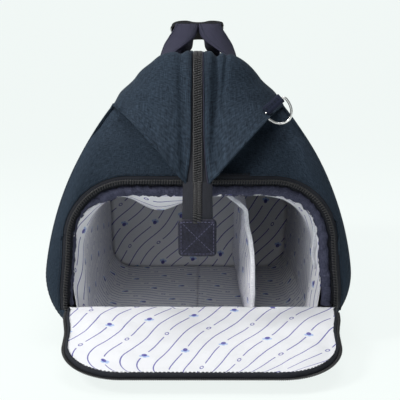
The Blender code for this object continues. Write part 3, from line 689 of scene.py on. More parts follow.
def melange_look(name, dark, light, thread, roughness=0.9):
    """Woven cloth of threads in two tones, with slubs and slow changes of shade."""
    look = Look(name, roughness=roughness, specular=0.15)
    warp = look.streaks(1 / thread, 0.10 / thread)
    weft = look.streaks(0.10 / thread, 1 / thread)
    threads = (warp + weft) * 0.5
    slow = look.noise(look.uv, 26, 1)
    down = look.streaks(SLUB_ACROSS, SLUB_ALONG, 1)
    over = look.streaks(SLUB_ALONG, SLUB_ACROSS, 1)
    shade = (down + over - 1.0) * SLUB_SHARE + (slow - 0.5) * DRIFT_SHARE
    tone = look.calc("ADD", look.between(threads, 0.36, 0.64), shade, clamp=True)
    look.set("Base Color", look.mix(tone, dark, light))
    look.relief(weave_height(look, thread) + threads * 0.8, thread * 0.35, 0.6)
    look.set("Roughness", look.between(slow, 0.2, 0.8, roughness - 0.06, roughness + 0.06))
    return look.material


def ribbed_look(name, dark, light, rib, cross):
    """Webbing or zip tape: ribs along the strip, crossed by fine weft."""
    look = Look(name, roughness=0.85, specular=0.2)
    u, v = look.split(look.uv)
    ribs = look.between(look.ripple(u, rib), -1, 1)
    chevron = v + look.ripple(u, rib * 2) * (cross * 0.4)
    weft = look.between(look.ripple(chevron, cross), -1, 1)
    height = ribs * 0.7 + weft * 0.5
    tone = look.calc("MULTIPLY", height * 0.5 + look.streaks(900, 60), 0.75, clamp=True)
    look.set("Base Color", look.mix(tone, dark, light))
    look.relief(height, rib * 0.22, 0.8)
    return look.material


def print_look(name, tilt, spacing, gap_share=0.30, wave=0.0022, length=0.085, shift=0.0,
               white=DOOR_WHITE):
    """White lining printed in indigo: thin waving lines, every second one broken by gaps that
    hold a solid blot or a small drop-shaped ring."""
    look = Look(name, roughness=0.75, specular=0.2)
    turned = look.scaled(look.uv, (1, 1, 1), turn=tilt, shift=(shift, shift * 0.7, 0))
    along, across = look.split(turned)
    bend = look.ripple(along, length) * wave + (look.noise(turned, 9, 1) - 0.5) * 0.010
    row = (across + bend) / spacing
    away = (look.calc("FRACT", row) - 0.5) * spacing
    number = look.calc("FLOOR", row)
    broken = number % 2.0
    line = look.between(abs(away), LINE_HALF, LINE_BLUR, 1, 0)
    cell = along / REPEAT + number * 0.31
    spot = (look.calc("FRACT", cell) - 0.5) * REPEAT
    half_gap = REPEAT * gap_share / 2
    gap = look.between(abs(spot), half_gap, half_gap + 0.0004, 1, 0)
    line = line * (1.0 - gap * broken)
    blot, ring, petals = spots_in_gaps(look, spot, away, look.calc("FLOOR", cell), broken)
    ink = look.highest(line, blot, ring)
    strength = look.between(look.noise(look.uv, 400, 2), 0.2, 0.8, 0.75, 1.0)
    paper = look.mix(look.noise(look.uv, 40, 3), tuple(c * 0.93 for c in white[:3]) + (1,), white)
    paper = look.mix(petals, paper, linear(150, 178, 226))
    look.set("Base Color", look.mix(ink * strength, paper, linear(52, 44, 150)))
    look.relief(weave_height(look, THREAD), 0.0001, 0.5)
    return look.material


def spots_in_gaps(look, along, across, cell, broken):
    """Masks of the blots, the small rings and the pale petals round the blots, which take turns
    along a broken line. along and across are distances from the middle of a gap."""
    odd = cell % 2.0
    even = (1.0 - odd) * broken
    odd = odd * broken

    def distance(shift_along, shift_across, stretch):
        """From the middle of a mark that is moved along and across and stretched."""
        a = (along - shift_along) * stretch
        b = across - shift_across
        return look.calc("SQRT", a * a + b * b)

    blot = look.between(distance(0, 0, 0.85), 0.0021, 0.0026, 1, 0) * even
    ring = look.between(abs(distance(0, 0, 0.72) - 0.0016), 0.0003, 0.0006, 1, 0) * odd
    petals = [look.between(distance(a, b, 1.0), 0.0014, 0.0020, 0.8, 0)
              for a, b in ((0.0030, 0.0018), (0.0034, -0.0014), (0.0004, 0.0034))]
    return blot, ring, look.highest(*petals) * even


def coil_look():
    """Dark satin plastic."""
    look = Look("zip_coil_look", roughness=0.42, specular=0.45)
    shade = look.noise(look.uv, 260, 2)
    look.set("Base Color", look.mix(shade, (0.010, 0.010, 0.011, 1), (0.034, 0.034, 0.036, 1)))
    look.set("Roughness", look.between(shade, 0.3, 0.7, 0.34, 0.52))
    look.relief(shade, 0.0001, 0.3)
    return look.material


def leather_look(name, dark, light, grain, depth, roughness, specular=0.45):
    """Pebbled leather: cells with creases between them; each pebble's top is painted lighter as a
    painted sheen, and the colour darkens towards the creases.
    """
    look = Look(name, roughness=roughness, specular=specular)
    cells = look.node("ShaderNodeTexVoronoi", {"Vector": look.uv, "Scale": 1 / grain},
                      feature="SMOOTH_F1")
    pebble = 1.0 - Value(look, cells.outputs["Distance"]) * 1.2
    rough = look.noise(look.uv, 1 / grain * 1.7, 3)
    # painted sheen: the colour is lighter on each pebble's top and darker towards the creases round
    # it
    tone = look.between(pebble * 0.6 + look.noise(look.uv, 60, 3) * 0.5, 0.3, 0.95)
    look.set("Base Color", look.mix(tone, dark, light))
    look.relief(pebble + rough * 0.5, depth, 0.8)
    look.set("Roughness", look.between(rough, 0.2, 0.8, roughness - 0.08, roughness + 0.12))
    return look.material


def nickel_look():
    """Bright nickel with fine brush marks and a little tarnish."""
    look = Look("nickel_look", roughness=0.2, metallic=1.0)
    brushed = look.streaks(2500, 120)
    spots = look.noise(look.uv, 90, 3)
    look.set("Base Color", look.mix(spots, (0.62, 0.61, 0.59, 1), (0.84, 0.84, 0.83, 1)))
    look.set("Roughness", look.between(brushed, 0.2, 0.8, 0.12, 0.32))
    look.relief(brushed, 0.00003, 0.4)
    return look.material


def solid_look(name, dark, light, scale, roughness):
    """For pieces that the shell hides: a grained surface in object space."""
    look = Look(name, roughness=roughness)
    where = look.node("ShaderNodeTexCoord").outputs["Object"]
    grain = look.noise(where, scale, 4)
    look.set("Base Color", look.mix(grain, dark, light))
    look.relief(grain, 0.0004, 0.5)
    return look.material


LOOKS = {}


def make_looks():
    """One look for each kind of surface."""
    LOOKS["shell"] = melange_look("shell_cloth_look", linear(21, 28, 37), linear(52, 65, 79),
                                  THREAD)
    LOOKS["coil"] = coil_look()
    LOOKS["tape"] = ribbed_look("zip_tape_look", linear(21, 22, 26), linear(48, 50, 57),
                                0.0012, 0.0008)
    LOOKS["webbing"] = ribbed_look("webbing_look", linear(32, 32, 47), linear(62, 62, 80),
                                   0.0022, 0.0012)
    LOOKS["ring_webbing"] = ribbed_look("ring_webbing_look", linear(22, 26, 42),
                                        linear(40, 45, 64), 0.0018, 0.0010)
    LOOKS["binding"] = melange_look("binding_look", linear(40, 42, 58), linear(78, 80, 100),
                                    0.0005, roughness=0.7)
    LOOKS["thread"] = melange_look("thread_look", linear(26, 30, 38), linear(58, 66, 78), 0.0003)
    LOOKS["tab_thread"] = melange_look("tab_thread_look", linear(60, 60, 80),
                                       linear(104, 104, 128), 0.0003)
    LOOKS["hem"] = melange_look("white_hem_look", (0.62, 0.63, 0.68, 1), (0.88, 0.89, 0.92, 1),
                                0.0006, roughness=0.8)
    # The compartment's prints use the brighter white, which is painted light for the shaded bay.
    LOOKS["bay_print"] = print_look("bay_print_look", math.radians(75), 0.0105, length=0.060,
                                    white=INSIDE_WHITE_PAINTED_LIGHTER)
    LOOKS["back_print"] = print_look("bay_back_print_look", math.radians(-50), 0.0125,
                                     white=INSIDE_WHITE_PAINTED_LIGHTER)
    LOOKS["divider_print"] = print_look("divider_print_look", math.radians(90), 0.0075,
                                        gap_share=0.12, wave=0.0014, length=0.036, shift=0.4,
                                        white=INSIDE_WHITE_PAINTED_LIGHTER)
    LOOKS["door_print"] = print_look("door_print_look", DOOR_PRINT_TURN, 0.0145, shift=0.2)
    LOOKS["tab"] = leather_look("tab_leather_look", linear(20, 20, 33), linear(44, 44, 63),
                                0.0016, 0.0005, 0.5, specular=0.28)
    LOOKS["grip"] = leather_look("grip_leather_look", linear(6, 6, 8), linear(22, 22, 25),
                                 0.0012, 0.0002, 0.60, specular=0.22)
    LOOKS["nickel"] = nickel_look()
    LOOKS["wrap_under"] = leather_look("wrap_underside_look", linear(34, 31, 32),
                                       linear(78, 72, 70), 0.0010, 0.0002, 0.7)


def finish_piece(piece, body, slot, *nodes):
    """Ties a visual piece to its body and to the nodes it stands for, which it hides. Its material
    slot is not used.
    """
    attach(piece, body)
    if nodes:
        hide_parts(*nodes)
    return piece


def sew(name, ends, body, slot, radius=STITCH_RADIUS, look="thread"):
    """One piece that holds a group of stitches."""
    finish_piece(capsules(name, ends, radius, LOOKS[look]), body, slot)


def bend_with_handles(piece, *nodes):
    """Bakes a handle piece's placement into its mesh and hides any nodes it stands for."""
    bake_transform(piece)
    if nodes:
        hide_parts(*nodes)


def mirrored(grid, axis):
    """A grid turned over along one axis."""
    copy = grid.copy()
    copy[..., axis] *= -1
    return copy


# ---- Outer shell --------------------------------------------------------------------------
def side_wrinkle(place, part, angle, left):
    """How far the side panel stands out or in at a place, in metres."""
    seam = smoothstep(part / 0.25) * smoothstep((3 - part) / 0.25)
    edge = smoothstep((angle - SEAM_ANGLE) / 20) * smoothstep((TAPE_ANGLE - angle) / 4)
    seed = Vector((3.1, 0, 0)) if left else Vector((0, 5.7, 0))
    broad = uneven(place.y * 9, place.z * 6, 0, seed)
    crumple = uneven(place.y * 26, place.z * 17, 1.3, seed)
    height = (0.0030 * broad + 0.0009 * crumple) * edge * (0.25 + 0.75 * seam)
    return height + fold_wrinkle(place, angle, left)


def fold_wrinkle(place, angle, left):
    """The long soft grooves that run from the crest down to each beak's tip."""
    end = smoothstep((HALF_LENGTH - abs(place.y) - 0.11) / -0.03)
    if angle < SHOULDER_ANGLE or end <= 0:
        return 0.0
    rise = (place.z - BEAK_TIP[2]) / (RIDGE_Z - BEAK_TIP[2])
    tip_fade = smoothstep((rise + 0.05) / 0.3) * end
    if left:
        groove, groove_depth = 0.0130 + 0.0050 * rise, 0.0022
        crease, crease_depth, crease_width = 0.042 + 0.010 * rise, 0.0016, 0.014
    else:
        groove, groove_depth = 0.0155 + 0.0045 * rise, 0.0046
        crease, crease_depth, crease_width = 0.0175 + 0.0130 * rise, 0.0022, 0.0045
    x = abs(place.x)
    height = -groove_depth * bump(x, groove, 0.0062) * tip_fade
    height += 0.0014 * bump(x, groove - 0.0075, 0.005) * tip_fade
    height -= crease_depth * bump(x, crease, crease_width) * tip_fade
    return height


def edge_lift(part, angle, left):
    """How far the fold's hanging edge stands off the end, which lets its right face catch
    the light and opens a hollow under it."""
    if angle < SHOULDER_ANGLE or part > 1.5:
        return Vector((0, 0, 0))
    up = min(1.0, (angle - SHOULDER_ANGLE) / (TAPE_ANGLE - SHOULDER_ANGLE))
    reach = 0.45 if part > 0 else 1.0
    near = 1 - smoothstep(abs(part) / reach)
    return EDGE_LIFT * math.sin(math.pi * up) * near * (LEFT_LIFT_SHARE if left else 1.0)


FLAT_COLUMNS = 52  # of the side panel's grid, below the shoulder
FOLD_COLUMNS = 50  # and above it


def side_parts():
    """Stations along a side panel, from under the near hem to under the far one."""
    hem = [-1, -0.7, -0.4, -0.15]
    near = list(np.linspace(0, 1, 64))
    middle = list(np.linspace(1, 2, 30))[1:-1]
    return hem + near + middle + [3 - p for p in reversed(near)] + [3 - p for p in reversed(hem)]


def make_side_cloth(left):
    """A whole side panel with its half of both folds. It comes with its flat size."""
    parts = side_parts()
    angles = list(np.linspace(SEAM_ANGLE + 0.6, SHOULDER_ANGLE, FLAT_COLUMNS))
    angles += list(np.linspace(SHOULDER_ANGLE, TAPE_ANGLE, FOLD_COLUMNS))[1:]
    grid = surface_grid(side_place, parts, angles)
    grid = raised(grid, MIDDLE, lambda row, column, spot: side_wrinkle(
        spot, parts[row], angles[column], left))
    grid += np.array([[edge_lift(part, angle, left) for angle in angles] for part in parts])
    if left:
        grid = mirrored(grid, 0)
    name = "left_side_cloth" if left else "right_side_cloth"
    piece = cloth_piece(name, grid, LOOKS["shell"], CLOTH, flip=facing_out(grid, MIDDLE))
    finish_piece(piece, "bag", "shell_fabric", "left_side_panel" if left else "right_side_panel")
    seam_stitches(name, grid)
    flat_wide = float(np.linalg.norm(np.diff(grid[len(parts) // 2], axis=0), axis=1).sum())
    flat_long = float(np.linalg.norm(np.diff(grid[:, 60], axis=0), axis=1).sum())
    return piece, (flat_wide, flat_long)


def seam_stitches(name, grid):
    """Topstitching beside the top zip and beside both end seams."""
    sewn = grid + grid_normals(grid, MIDDLE) * STITCH_SINK
    lines = [sewn[4:-4, -3], sewn[9, :FLAT_COLUMNS], sewn[-10, :FLAT_COLUMNS]]
    ends = [pair for line in lines for pair in stitch_ends([Vector(p) for p in line], 0.0030)]
    sew(name + "_stitches", ends, "bag", "shell_fabric", 0.00030)


def end_place(x, z):
    """A place on the near end panel, whose top sits back behind the fold."""
    behind = 0.006 * smoothstep((z - 0.205) / 0.020)
    return Vector((x, end_y(x, z) + behind, z))


def fold_hollow(x, z):
    """Depth of the dark pocket under the fold's right edge, between its tip and the shoulder."""
    over, rise = x - FOLD_EDGE_START[0], z - FOLD_EDGE_START[1]
    along = over * FOLD_EDGE_WAY[0] + rise * FOLD_EDGE_WAY[1]
    below = over * FOLD_EDGE_WAY[1] - rise * FOLD_EDGE_WAY[0]
    ends = smoothstep(along / 0.012) * smoothstep((HOLLOW_LENGTH - along) / 0.022)
    return HOLLOW_DEPTH * bump(below, 0.003, HOLLOW_WIDTH) * ends


def end_seam():
    """(x, z) of the end panel's outer edge, from low left over the top to low right."""
    right = [(half_width(z) - SEAM_DX - SEAM_GAP, z) for z in np.linspace(0.036, 0.243, 40)]
    right += [(0.079, 0.239), (0.070, 0.2350), (0.060, 0.2315), (0.040, 0.232), (0.020, 0.234)]
    return right


def make_end_cloth(far):
    """The panel round the mouth at the near end, or the whole far end."""
    grid = far_end_grid() if far else mouth_surround_grid()
    seed = Vector((9.0 if far else 2.0, 0, 0))

    def crease(row, _column, place):
        edge = smoothstep((half_width(place.z) - abs(place.x)) / 0.03)
        soft = uneven(place.x * 14, place.z * 9, 0, seed)
        fine = uneven(place.x * 34, place.z * 18, 4, seed)
        near_mouth = 1.0 if far else smoothstep(row / 8)
        return (0.0022 * soft + 0.0006 * fine) * edge * near_mouth

    grid = raised(grid, MIDDLE, crease)
    if far:
        grid = mirrored(grid, 1)
    name = "far_end_cloth" if far else "shoe_end_cloth"
    piece = cloth_piece(name, grid, LOOKS["shell"], CLOTH, flip=facing_out(grid, MIDDLE))
    finish_piece(piece, "bag", "shell_fabric", "far_end_panel" if far else "shoe_end_panel")
    return piece


def end_band(low, high, rows, columns):
    """The end's surface between two heights, from seam to seam."""
    def place(share, z):
        return end_place(share * (half_width(z) - SEAM_DX - SEAM_GAP), z)

    return surface_grid(place, np.linspace(-1, 1, columns), np.linspace(low, high, rows))


def far_end_grid():
    return end_band(0.004, 0.243, 60, 60)


def mouth_surround_grid():
    """Rows from the mouth's folded edge out to the seam, columns from left over to right."""
    inner = mouth_line(FABRIC_EDGE)
    low_left = [(inner[0][0], z) for z in (0.036, 0.039)]
    inner = low_left + inner + [(-x, z) for x, z in reversed(low_left)]
    half = [Vector((x, 0, z)) for x, z in inner[len(inner) // 2:]][::-1]
    seam = [Vector((x, 0, z)) for x, z in end_seam()] + [Vector((0, 0, 0.235))]
    corner = min(range(len(half)), key=lambda k: abs(half[k].x - 0.121))
    turn = 40
    inner_right = evenly(half[:corner + 1], 36) + evenly(half[corner:], 30)[1:]
    outer_right = evenly(seam[:turn], 36) + evenly(seam[turn - 1:], 30)[1:]
    rows = []
    for share in np.concatenate([np.linspace(0, 0.12, 5), np.linspace(0.16, 1, 24)]):
        line = [a.lerp(b, share) for a, b in zip(inner_right, outer_right)]
        line = [Vector((-p.x, 0, p.z)) for p in line] + line[-2::-1]
        rows.append([end_place(p.x + MOUTH_SHIFT * (1 - share), p.z)
                     + ALONG_Y * fold_hollow(p.x, p.z) for p in line])
    grid = np.array(rows, float)
    fold = grid[0] + np.array((0, 0.0018, 0))
    return np.concatenate([fold[None], grid])


def make_sill_cloth():
    """The low strip of the near end, under the door's hinge."""
    grid = end_band(0.003, 0.0372, 10, 70)
    piece = cloth_piece("sill_cloth", grid, LOOKS["shell"], CLOTH,
                        flip=facing_out(grid, (0, 0, 0.1)))
    finish_piece(piece, "bag", "shell_fabric")
    taut(piece, grid, "shoe_end_panel")


def make_base_cloth():
    """The bottom, flat in its middle and turned up at both sides to meet their seams."""
    stations = list(np.linspace(-1, 1, 60))
    parts = [part for part in side_parts() if 0 <= part <= 3]
    flat = 0.7  # the share of the way to the seam that lies on the ground

    def place(part, share):
        if abs(share) < flat:
            edge = side_place(part, -90)
            return Vector((edge.x * share / flat, edge.y, edge.z + 0.0004))
        angle = -90 + (abs(share) - flat) / (1 - flat) * (90 + SEAM_ANGLE - 0.4)
        edge = side_place(part, angle)
        return Vector((math.copysign(edge.x, share), edge.y, edge.z))

    grid = surface_grid(place, parts, stations)
    piece = cloth_piece("base_cloth", grid, LOOKS["shell"], CLOTH,
                        flip=facing_out(grid, (0, 0, 0.1)))
    finish_piece(piece, "bag", "shell_fabric", "base_panel")
    taut(piece, grid, "base_board")
    edge = [Vector(p) for p in grid[4:-4, 5] + np.array((-0.0004, 0, -0.0004))]
    ends = stitch_ends(edge, 0.0030)
    ends += [(swapped(a), swapped(b)) for a, b in ends]
    sew("base_stitches", ends, "bag", "shell_fabric")


# ---- Compartment mouth --------------------------------------------------------------------
def mouth_centre(with_tails=False):
    """The U zip's centre line as (x, z), from the left foot over the top to the right foot."""
    right = [(0.1305, 0.018), (0.1362, 0.030)] if with_tails else []
    right += [(MOUTH_HALF_LOW, 0.042), (MOUTH_HALF_LOW, 0.060),
              (MOUTH_HALF_HIGH + 0.001, 0.085), (MOUTH_HALF_HIGH, MOUTH_TOP - MOUTH_RADIUS)]
    centre = (MOUTH_HALF_HIGH - MOUTH_RADIUS, MOUTH_TOP - MOUTH_RADIUS)
    for k in range(1, 17):
        angle = math.pi / 2 * k / 16
        right.append((centre[0] + MOUTH_RADIUS * math.cos(angle),
                      centre[1] + MOUTH_RADIUS * math.sin(angle)))
    left = [(-x, z) for x, z in right]
    return left + [(-0.03, MOUTH_TOP), (0.0, MOUTH_TOP), (0.03, MOUTH_TOP)] + right[::-1]


def mouth_line(offset, with_tails=False):
    """The centre line moved outwards by offset."""
    path = mouth_centre(with_tails)
    moved = []
    for k, (x, z) in enumerate(path):
        x0, z0 = path[max(k - 1, 0)]
        x1, z1 = path[min(k + 1, len(path) - 1)]
        size = math.hypot(x1 - x0, z1 - z0)
        moved.append((x - (z1 - z0) / size * offset, z + (x1 - x0) / size * offset))
    return moved


def mouth_places(offset, depth, count, with_tails=False):
    """Evenly spaced places along the mouth, depth behind the end's surface."""
    flat = [Vector((x, 0, z)) for x, z in mouth_line(offset, with_tails)]
    places = [Vector((p.x + MOUTH_SHIFT, 0, p.z)) for p in evenly(flat, count)]
    return [Vector((p.x, end_y(p.x, p.z) + depth, p.z)) for p in places]


def mouth_strip(name, offsets, depths, count, look, with_tails=False):
    """A strip of cloth along the mouth; its rows lie at the given offsets and depths."""
    rows = [mouth_places(offset, depth, count, with_tails)
            for offset, depth in zip(offsets, depths)]
    grid = grid_from(rows)
    strip = cloth_piece(name, grid, look, TAPE, flip=facing(grid, (0, -1, 0)))
    taut(strip, grid, "shoe_end_panel")
    return strip


def make_mouth():
    """The bag's half of the U zip, with its stitches and the binding inside it."""
    tape = mouth_strip("opening_zip_tape", (-0.0026, 0, 0.004, 0.0080), (0.0004, 0, 0.0002, 0.0012),
                       260, LOOKS["tape"], with_tails=True)
    finish_piece(tape, "bag", "zip_tape", "opening_tape")
    path = mouth_places(0, -0.0008, 400, with_tails=True)
    outer = mouth_places(0.004, 0, 400, with_tails=True)
    outwards = [Vector((far.x - here.x, 0, far.z - here.z)) for far, here in zip(outer, path)]
    frames = frames_along(path, outwards)
    ends = coil_ends(path, frames, -0.0022, 0.0014, OPEN_PITCH)
    coil = capsules("opening_coil", ends, OPEN_TOOTH, LOOKS["coil"], up=ALONG_Y)
    finish_piece(coil, "bag", "zip_coil", "opening_teeth")
    beside = [(side + 0.0009, height) for side, height in round_section(CORD_RADIUS, 6)]
    cord = swept("opening_coil_cord", path, frames, beside, LOOKS["coil"])
    finish_piece(cord, "bag", "zip_coil")
    ends = stitch_ends(mouth_places(FABRIC_EDGE + 0.0018, -0.0002, 300))
    sew("mouth_stitches", ends, "bag", "shell_fabric", 0.00035)
    make_mouth_binding()


def make_mouth_binding():
    """Gathered binding between the zip and the lining, puckered along its length."""
    count = 420

    def pucker(row, column, _place):
        along = column / count * 60
        gather = uneven(along, row * 0.25, 0.0)
        fine = uneven(along * 2.7, row * 0.5, 3.0)
        return 0.0017 * gather + 0.0010 * fine

    offsets = (-0.0050, -0.0062, -0.0080, -0.0100, -0.0120, -0.0138, -0.0150, -0.0156)
    depths = (0.0040, 0.0022, 0.0012, 0.0009, 0.0012, 0.0022, 0.0038, 0.0052)
    rows = [mouth_places(offset, depth, count) for offset, depth in zip(offsets, depths)]
    narrow = LEFT_REACH / (offsets[0] - offsets[-1])
    grid = grid_from([[place.lerp(first, narrow * on_left_wall(place.x))
                       for place, first in zip(row, rows[0])] for row in rows])
    grid = raised(grid, (0, 0.5, 0.1), pucker)
    strip = cloth_piece("mouth_binding_cloth", grid, LOOKS["binding"], TAPE,
                        flip=facing(grid, (0, -1, 0)))
    taut(strip, grid, "shoe_end_panel")
    finish_piece(strip, "bag", "binding", "mouth_binding")
    backing = mouth_strip("zip_backing", (-0.0060, -0.002, 0.002), (0.0046, 0.0040, 0.0034), 200,
                          LOOKS["tape"])
    finish_piece(backing, "bag", "zip_tape")


# ---- Linings ------------------------------------------------------------------------------
def bay_section(depth):
    """Closed outline of the shoe compartment at a depth, from the floor's middle going right."""
    in_mouth = 1 - smoothstep(depth / 0.030)
    flare = 0.0035 * in_mouth - 0.001
    wall = POCKET_HALF + flare
    top = POCKET_TOP + flare
    floor = POCKET_FLOOR + (HINGE_Z - POCKET_FLOOR) * in_mouth**2
    right = [(0, floor), (0.050, floor), (0.094, floor), (0.106, floor + 0.004 * (1 - in_mouth)),
             (wall - 0.003, floor + 0.018 * (1 - in_mouth) + 0.002), (wall, 0.060), (wall, 0.080)]
    for k in range(9):
        angle = math.pi / 2 * k / 8
        right.append((wall - POCKET_CORNER * (1 - math.cos(angle)),
                      top - POCKET_CORNER * (1 - math.sin(angle))))
    right += [(0.030, top), (0, top)]
    line = [Vector((x, 0, z)) for x, z in right]
    line += [Vector((-x, 0, z)) for x, z in right[-2:0:-1]]
    return [place + ALONG_X * in_mouth * (MOUTH_SHIFT - LEFT_REACH * on_left_wall(place.x))
            for place in evenly(line + [line[0]], 181)]


def on_left_wall(x):
    """1 on the compartment's left wall, 0 elsewhere."""
    return smoothstep((-x - 0.090) / 0.025)


def bay_sag(place, depth):
    """The lining's slack: the ceiling hangs in two bays, and the walls and floor pucker."""
    x = place.x
    inside = smoothstep(depth / 0.022)
    ceiling = smoothstep((place.z - 0.118) / 0.030)
    hang = CEILING_SAG * bump(x, -0.040, 0.052) * bump(depth, 0.052, 0.050)
    hang += 0.0050 * bump(x, 0.070, 0.050) * bump(depth, 0.110, 0.100)
    hang += 0.0040 * (1 - (x / 0.12) ** 2) * math.sin(math.pi * min(1.0, depth / POCKET_DEPTH))
    ripple = uneven(x * 24, depth * 13, place.z * 20)
    fine = uneven(x * 60, depth * 34, place.z * 46 + 7)
    soft = (0.0024 * ripple + 0.0008 * fine) * inside
    on_wall = abs(x) > 0.09
    towards_middle = Vector((-x * 6 if on_wall else 0, 0, 0.12 - place.z)).normalized()
    floor = smoothstep((0.020 - place.z) / 0.010)
    soft *= 1 - 0.7 * floor
    if floor:
        soft = abs(soft)
    return place - UP * hang * ceiling * inside + towards_middle * soft


def bay_ring(depth):
    """The lining's places round the compartment at a depth. They lean with the end at first."""
    ring = []
    for place in bay_section(depth):
        start = lean(place.z) + 0.0040 - HALF_LENGTH
        y = start + (BACK_DEPTH - HALF_LENGTH - start) * depth / BACK_DEPTH
        ring.append(bay_sag(Vector((place.x, y, place.z)), depth))
    return ring


def make_bay_lining():
    """The lining of the compartment's floor, walls and ceiling, in one sheet."""
    depths = [0.0, 0.002, 0.004, 0.007] + list(np.linspace(0.010, 0.120, 34))
    depths += list(np.linspace(0.128, BACK_DEPTH, 30))
    grid = grid_from([bay_ring(depth) for depth in depths])
    walls = cloth_piece("bay_lining", grid, LOOKS["bay_print"], LINING,
                        flip=not facing_out(grid, (0, -0.08, 0.08)))
    finish_piece(walls, "bag", "lining_print", "pocket_lining")
    make_bay_back(grid[-1])


def make_bay_back(rim):
    """The compartment's back wall, which bulges a little towards the mouth."""
    centre = np.array([0, rim[:, 1].mean(), 0.080])
    shares = np.linspace(1, 0.001, 22)
    back = np.array([centre + (rim - centre) * share for share in shares])

    def bulge(share, place):
        loose = smoothstep((1 - share) / 0.2)
        return 0.006 * (1 - share * share) + 0.003 * uneven(*(place * 18)) * loose

    back[..., 1] -= np.array([[bulge(share, place) for place in row]
                              for share, row in zip(shares, back)])
    wall = cloth_piece("bay_back_lining", back, LOOKS["back_print"], LINING,
                       flip=facing(back, (0, -1, 0)))
    plane_uv(wall, 0, 2)
    finish_piece(wall, "bag", "lining_print")


def plane_uv(piece, first, second):
    """Cloth coordinates straight from two of the places' axes."""
    layer = piece.data.uv_layers["cloth"]
    for loop in piece.data.loops:
        place = piece.data.vertices[loop.vertex_index].co
        layer.data[loop.index].uv = (place[first], place[second])


def divider_edge(z):
    """The curtain's front edge: depth behind the end, and how far it leans to the left."""
    heights = (0.0092, 0.060, 0.105, 0.140, 0.1505)
    depth = float(np.interp(z, heights, (0.022, 0.024, 0.032, 0.054, 0.078)))
    aside = 0.026 * smoothstep((z - 0.131) / 0.024) - 0.0045
    return depth, aside


def make_divider():
    """Curtain between the shoes' bay and the bottle's bay, with a white hem on its front edge."""
    heights = list(np.linspace(0.0094, 0.1500, 44))
    shares = list(np.linspace(0, 1, 60))

    def place(share, z):
        depth, aside = divider_edge(z)
        y = depth + (POCKET_DEPTH - 0.004 - depth) * share
        fade = math.exp(-3.5 * share)
        sway = 0.0045 * math.sin(y * 42 + z * 12) * smoothstep((z - 0.01) / 0.03)
        crumple = 0.0025 * uneven(y * 20, z * 30, 2.0)
        top = smoothstep((z - 0.120) / 0.030)
        x = DIVIDER_X - aside * fade + (sway + crumple) * (1 - 0.6 * top)
        return Vector((x, y - HALF_LENGTH, z))

    grid = surface_grid(place, shares, heights)
    curtain = cloth_piece("divider_curtain", grid, LOOKS["divider_print"], 0.0004,
                          flip=facing(grid, (-1, 0, 0)))
    finish_piece(curtain, "bag", "lining_print", "pocket_divider")
    edge = evenly([Vector(p) for p in grid[0]], 70)
    wavy = [p + Vector((0.0008 * uneven(0, 0, p.z * 90), -0.0004, 0)) for p in edge]
    frames = frames_along(wavy, Vector((0.93, -0.37, 0)))
    hem = swept("divider_hem", wavy, frames, strip_section(0.0023, 0.0008), LOOKS["hem"])
    finish_piece(hem, "bag", "lining_print")


def make_wall_hem():
    """Folded seam allowance of the lining, standing up along the right wall by the mouth."""
    path = [Vector((POCKET_HALF + 0.0005 - 0.0012 * math.sin(k * 0.5),
                    lean(0.14) + 0.0120 + 0.0012 * math.sin(k * 0.9) - HALF_LENGTH,
                    0.140 - 0.0030 * k)) for k in range(22)]
    frames = frames_along(path, Vector((-0.85, -0.5, 0)))
    hem = swept("wall_hem", path, frames, strip_section(0.0026, 0.0007), LOOKS["hem"],
                scale=lambda t: (0.35 + 0.65 * math.sin(math.pi * min(0.97, max(0.03, t))), 1))
    finish_piece(hem, "bag", "lining_print")


# ---- Door ---------------------------------------------------------------------------------
def door_place(x, away, outside):
    """A place on the open door; away runs from the hinge and outside is downwards."""
    away *= DOOR_STRETCH
    y = HINGE_Y - HALF_LENGTH - away * math.cos(DOOR_SLOPE) + outside * math.sin(DOOR_SLOPE)
    z = HINGE_Z - away * math.sin(DOOR_SLOPE) - outside * math.cos(DOOR_SLOPE)
    narrowed = 1 - DOOR_TAPER * smoothstep(away / 0.060)
    return Vector((x * narrowed + MOUTH_SHIFT * 1.4, y, z))


def door_line(offset):
    """The door's edge as (x, distance from the hinge), offset from its coil's centre line."""
    return [(x, max(0.0008, (z - HINGE_Z) / math.cos(DOOR_LEAN))) for x, z in mouth_line(offset)]


def door_rim(offset, count):
    """Evenly spaced places along the door's edge, as (x, distance from the hinge)."""
    flat = [Vector((x, away, 0)) for x, away in door_line(offset)]
    return evenly(flat, count)


def door_cloth_grid(offset, columns, rows, lift):
    """Columns across the door and rows away from the hinge, cut to its rounded outline."""
    rim = door_rim(offset, 400)
    right = [p for p in rim if p.x >= 0]
    far = max(p.y for p in rim)
    heights = [far * k / (rows - 1) for k in range(rows)]
    order = sorted(right, key=lambda p: p.y)
    ys, xs = [p.y for p in order], [p.x for p in order]
    grid = []
    for k, away in enumerate(heights):
        half = float(np.interp(min(away, far - 0.0002), ys, xs))
        line = []
        for n in range(columns):
            share = 2 * n / (columns - 1) - 1
            x = share * half
            rim_gap = min(half - abs(x), far - away, away + 0.010)
            line.append(tuple(door_place(x, away, lift(x, away, max(0.0, rim_gap)))))
        grid.append(line)
    return np.array(grid, float)


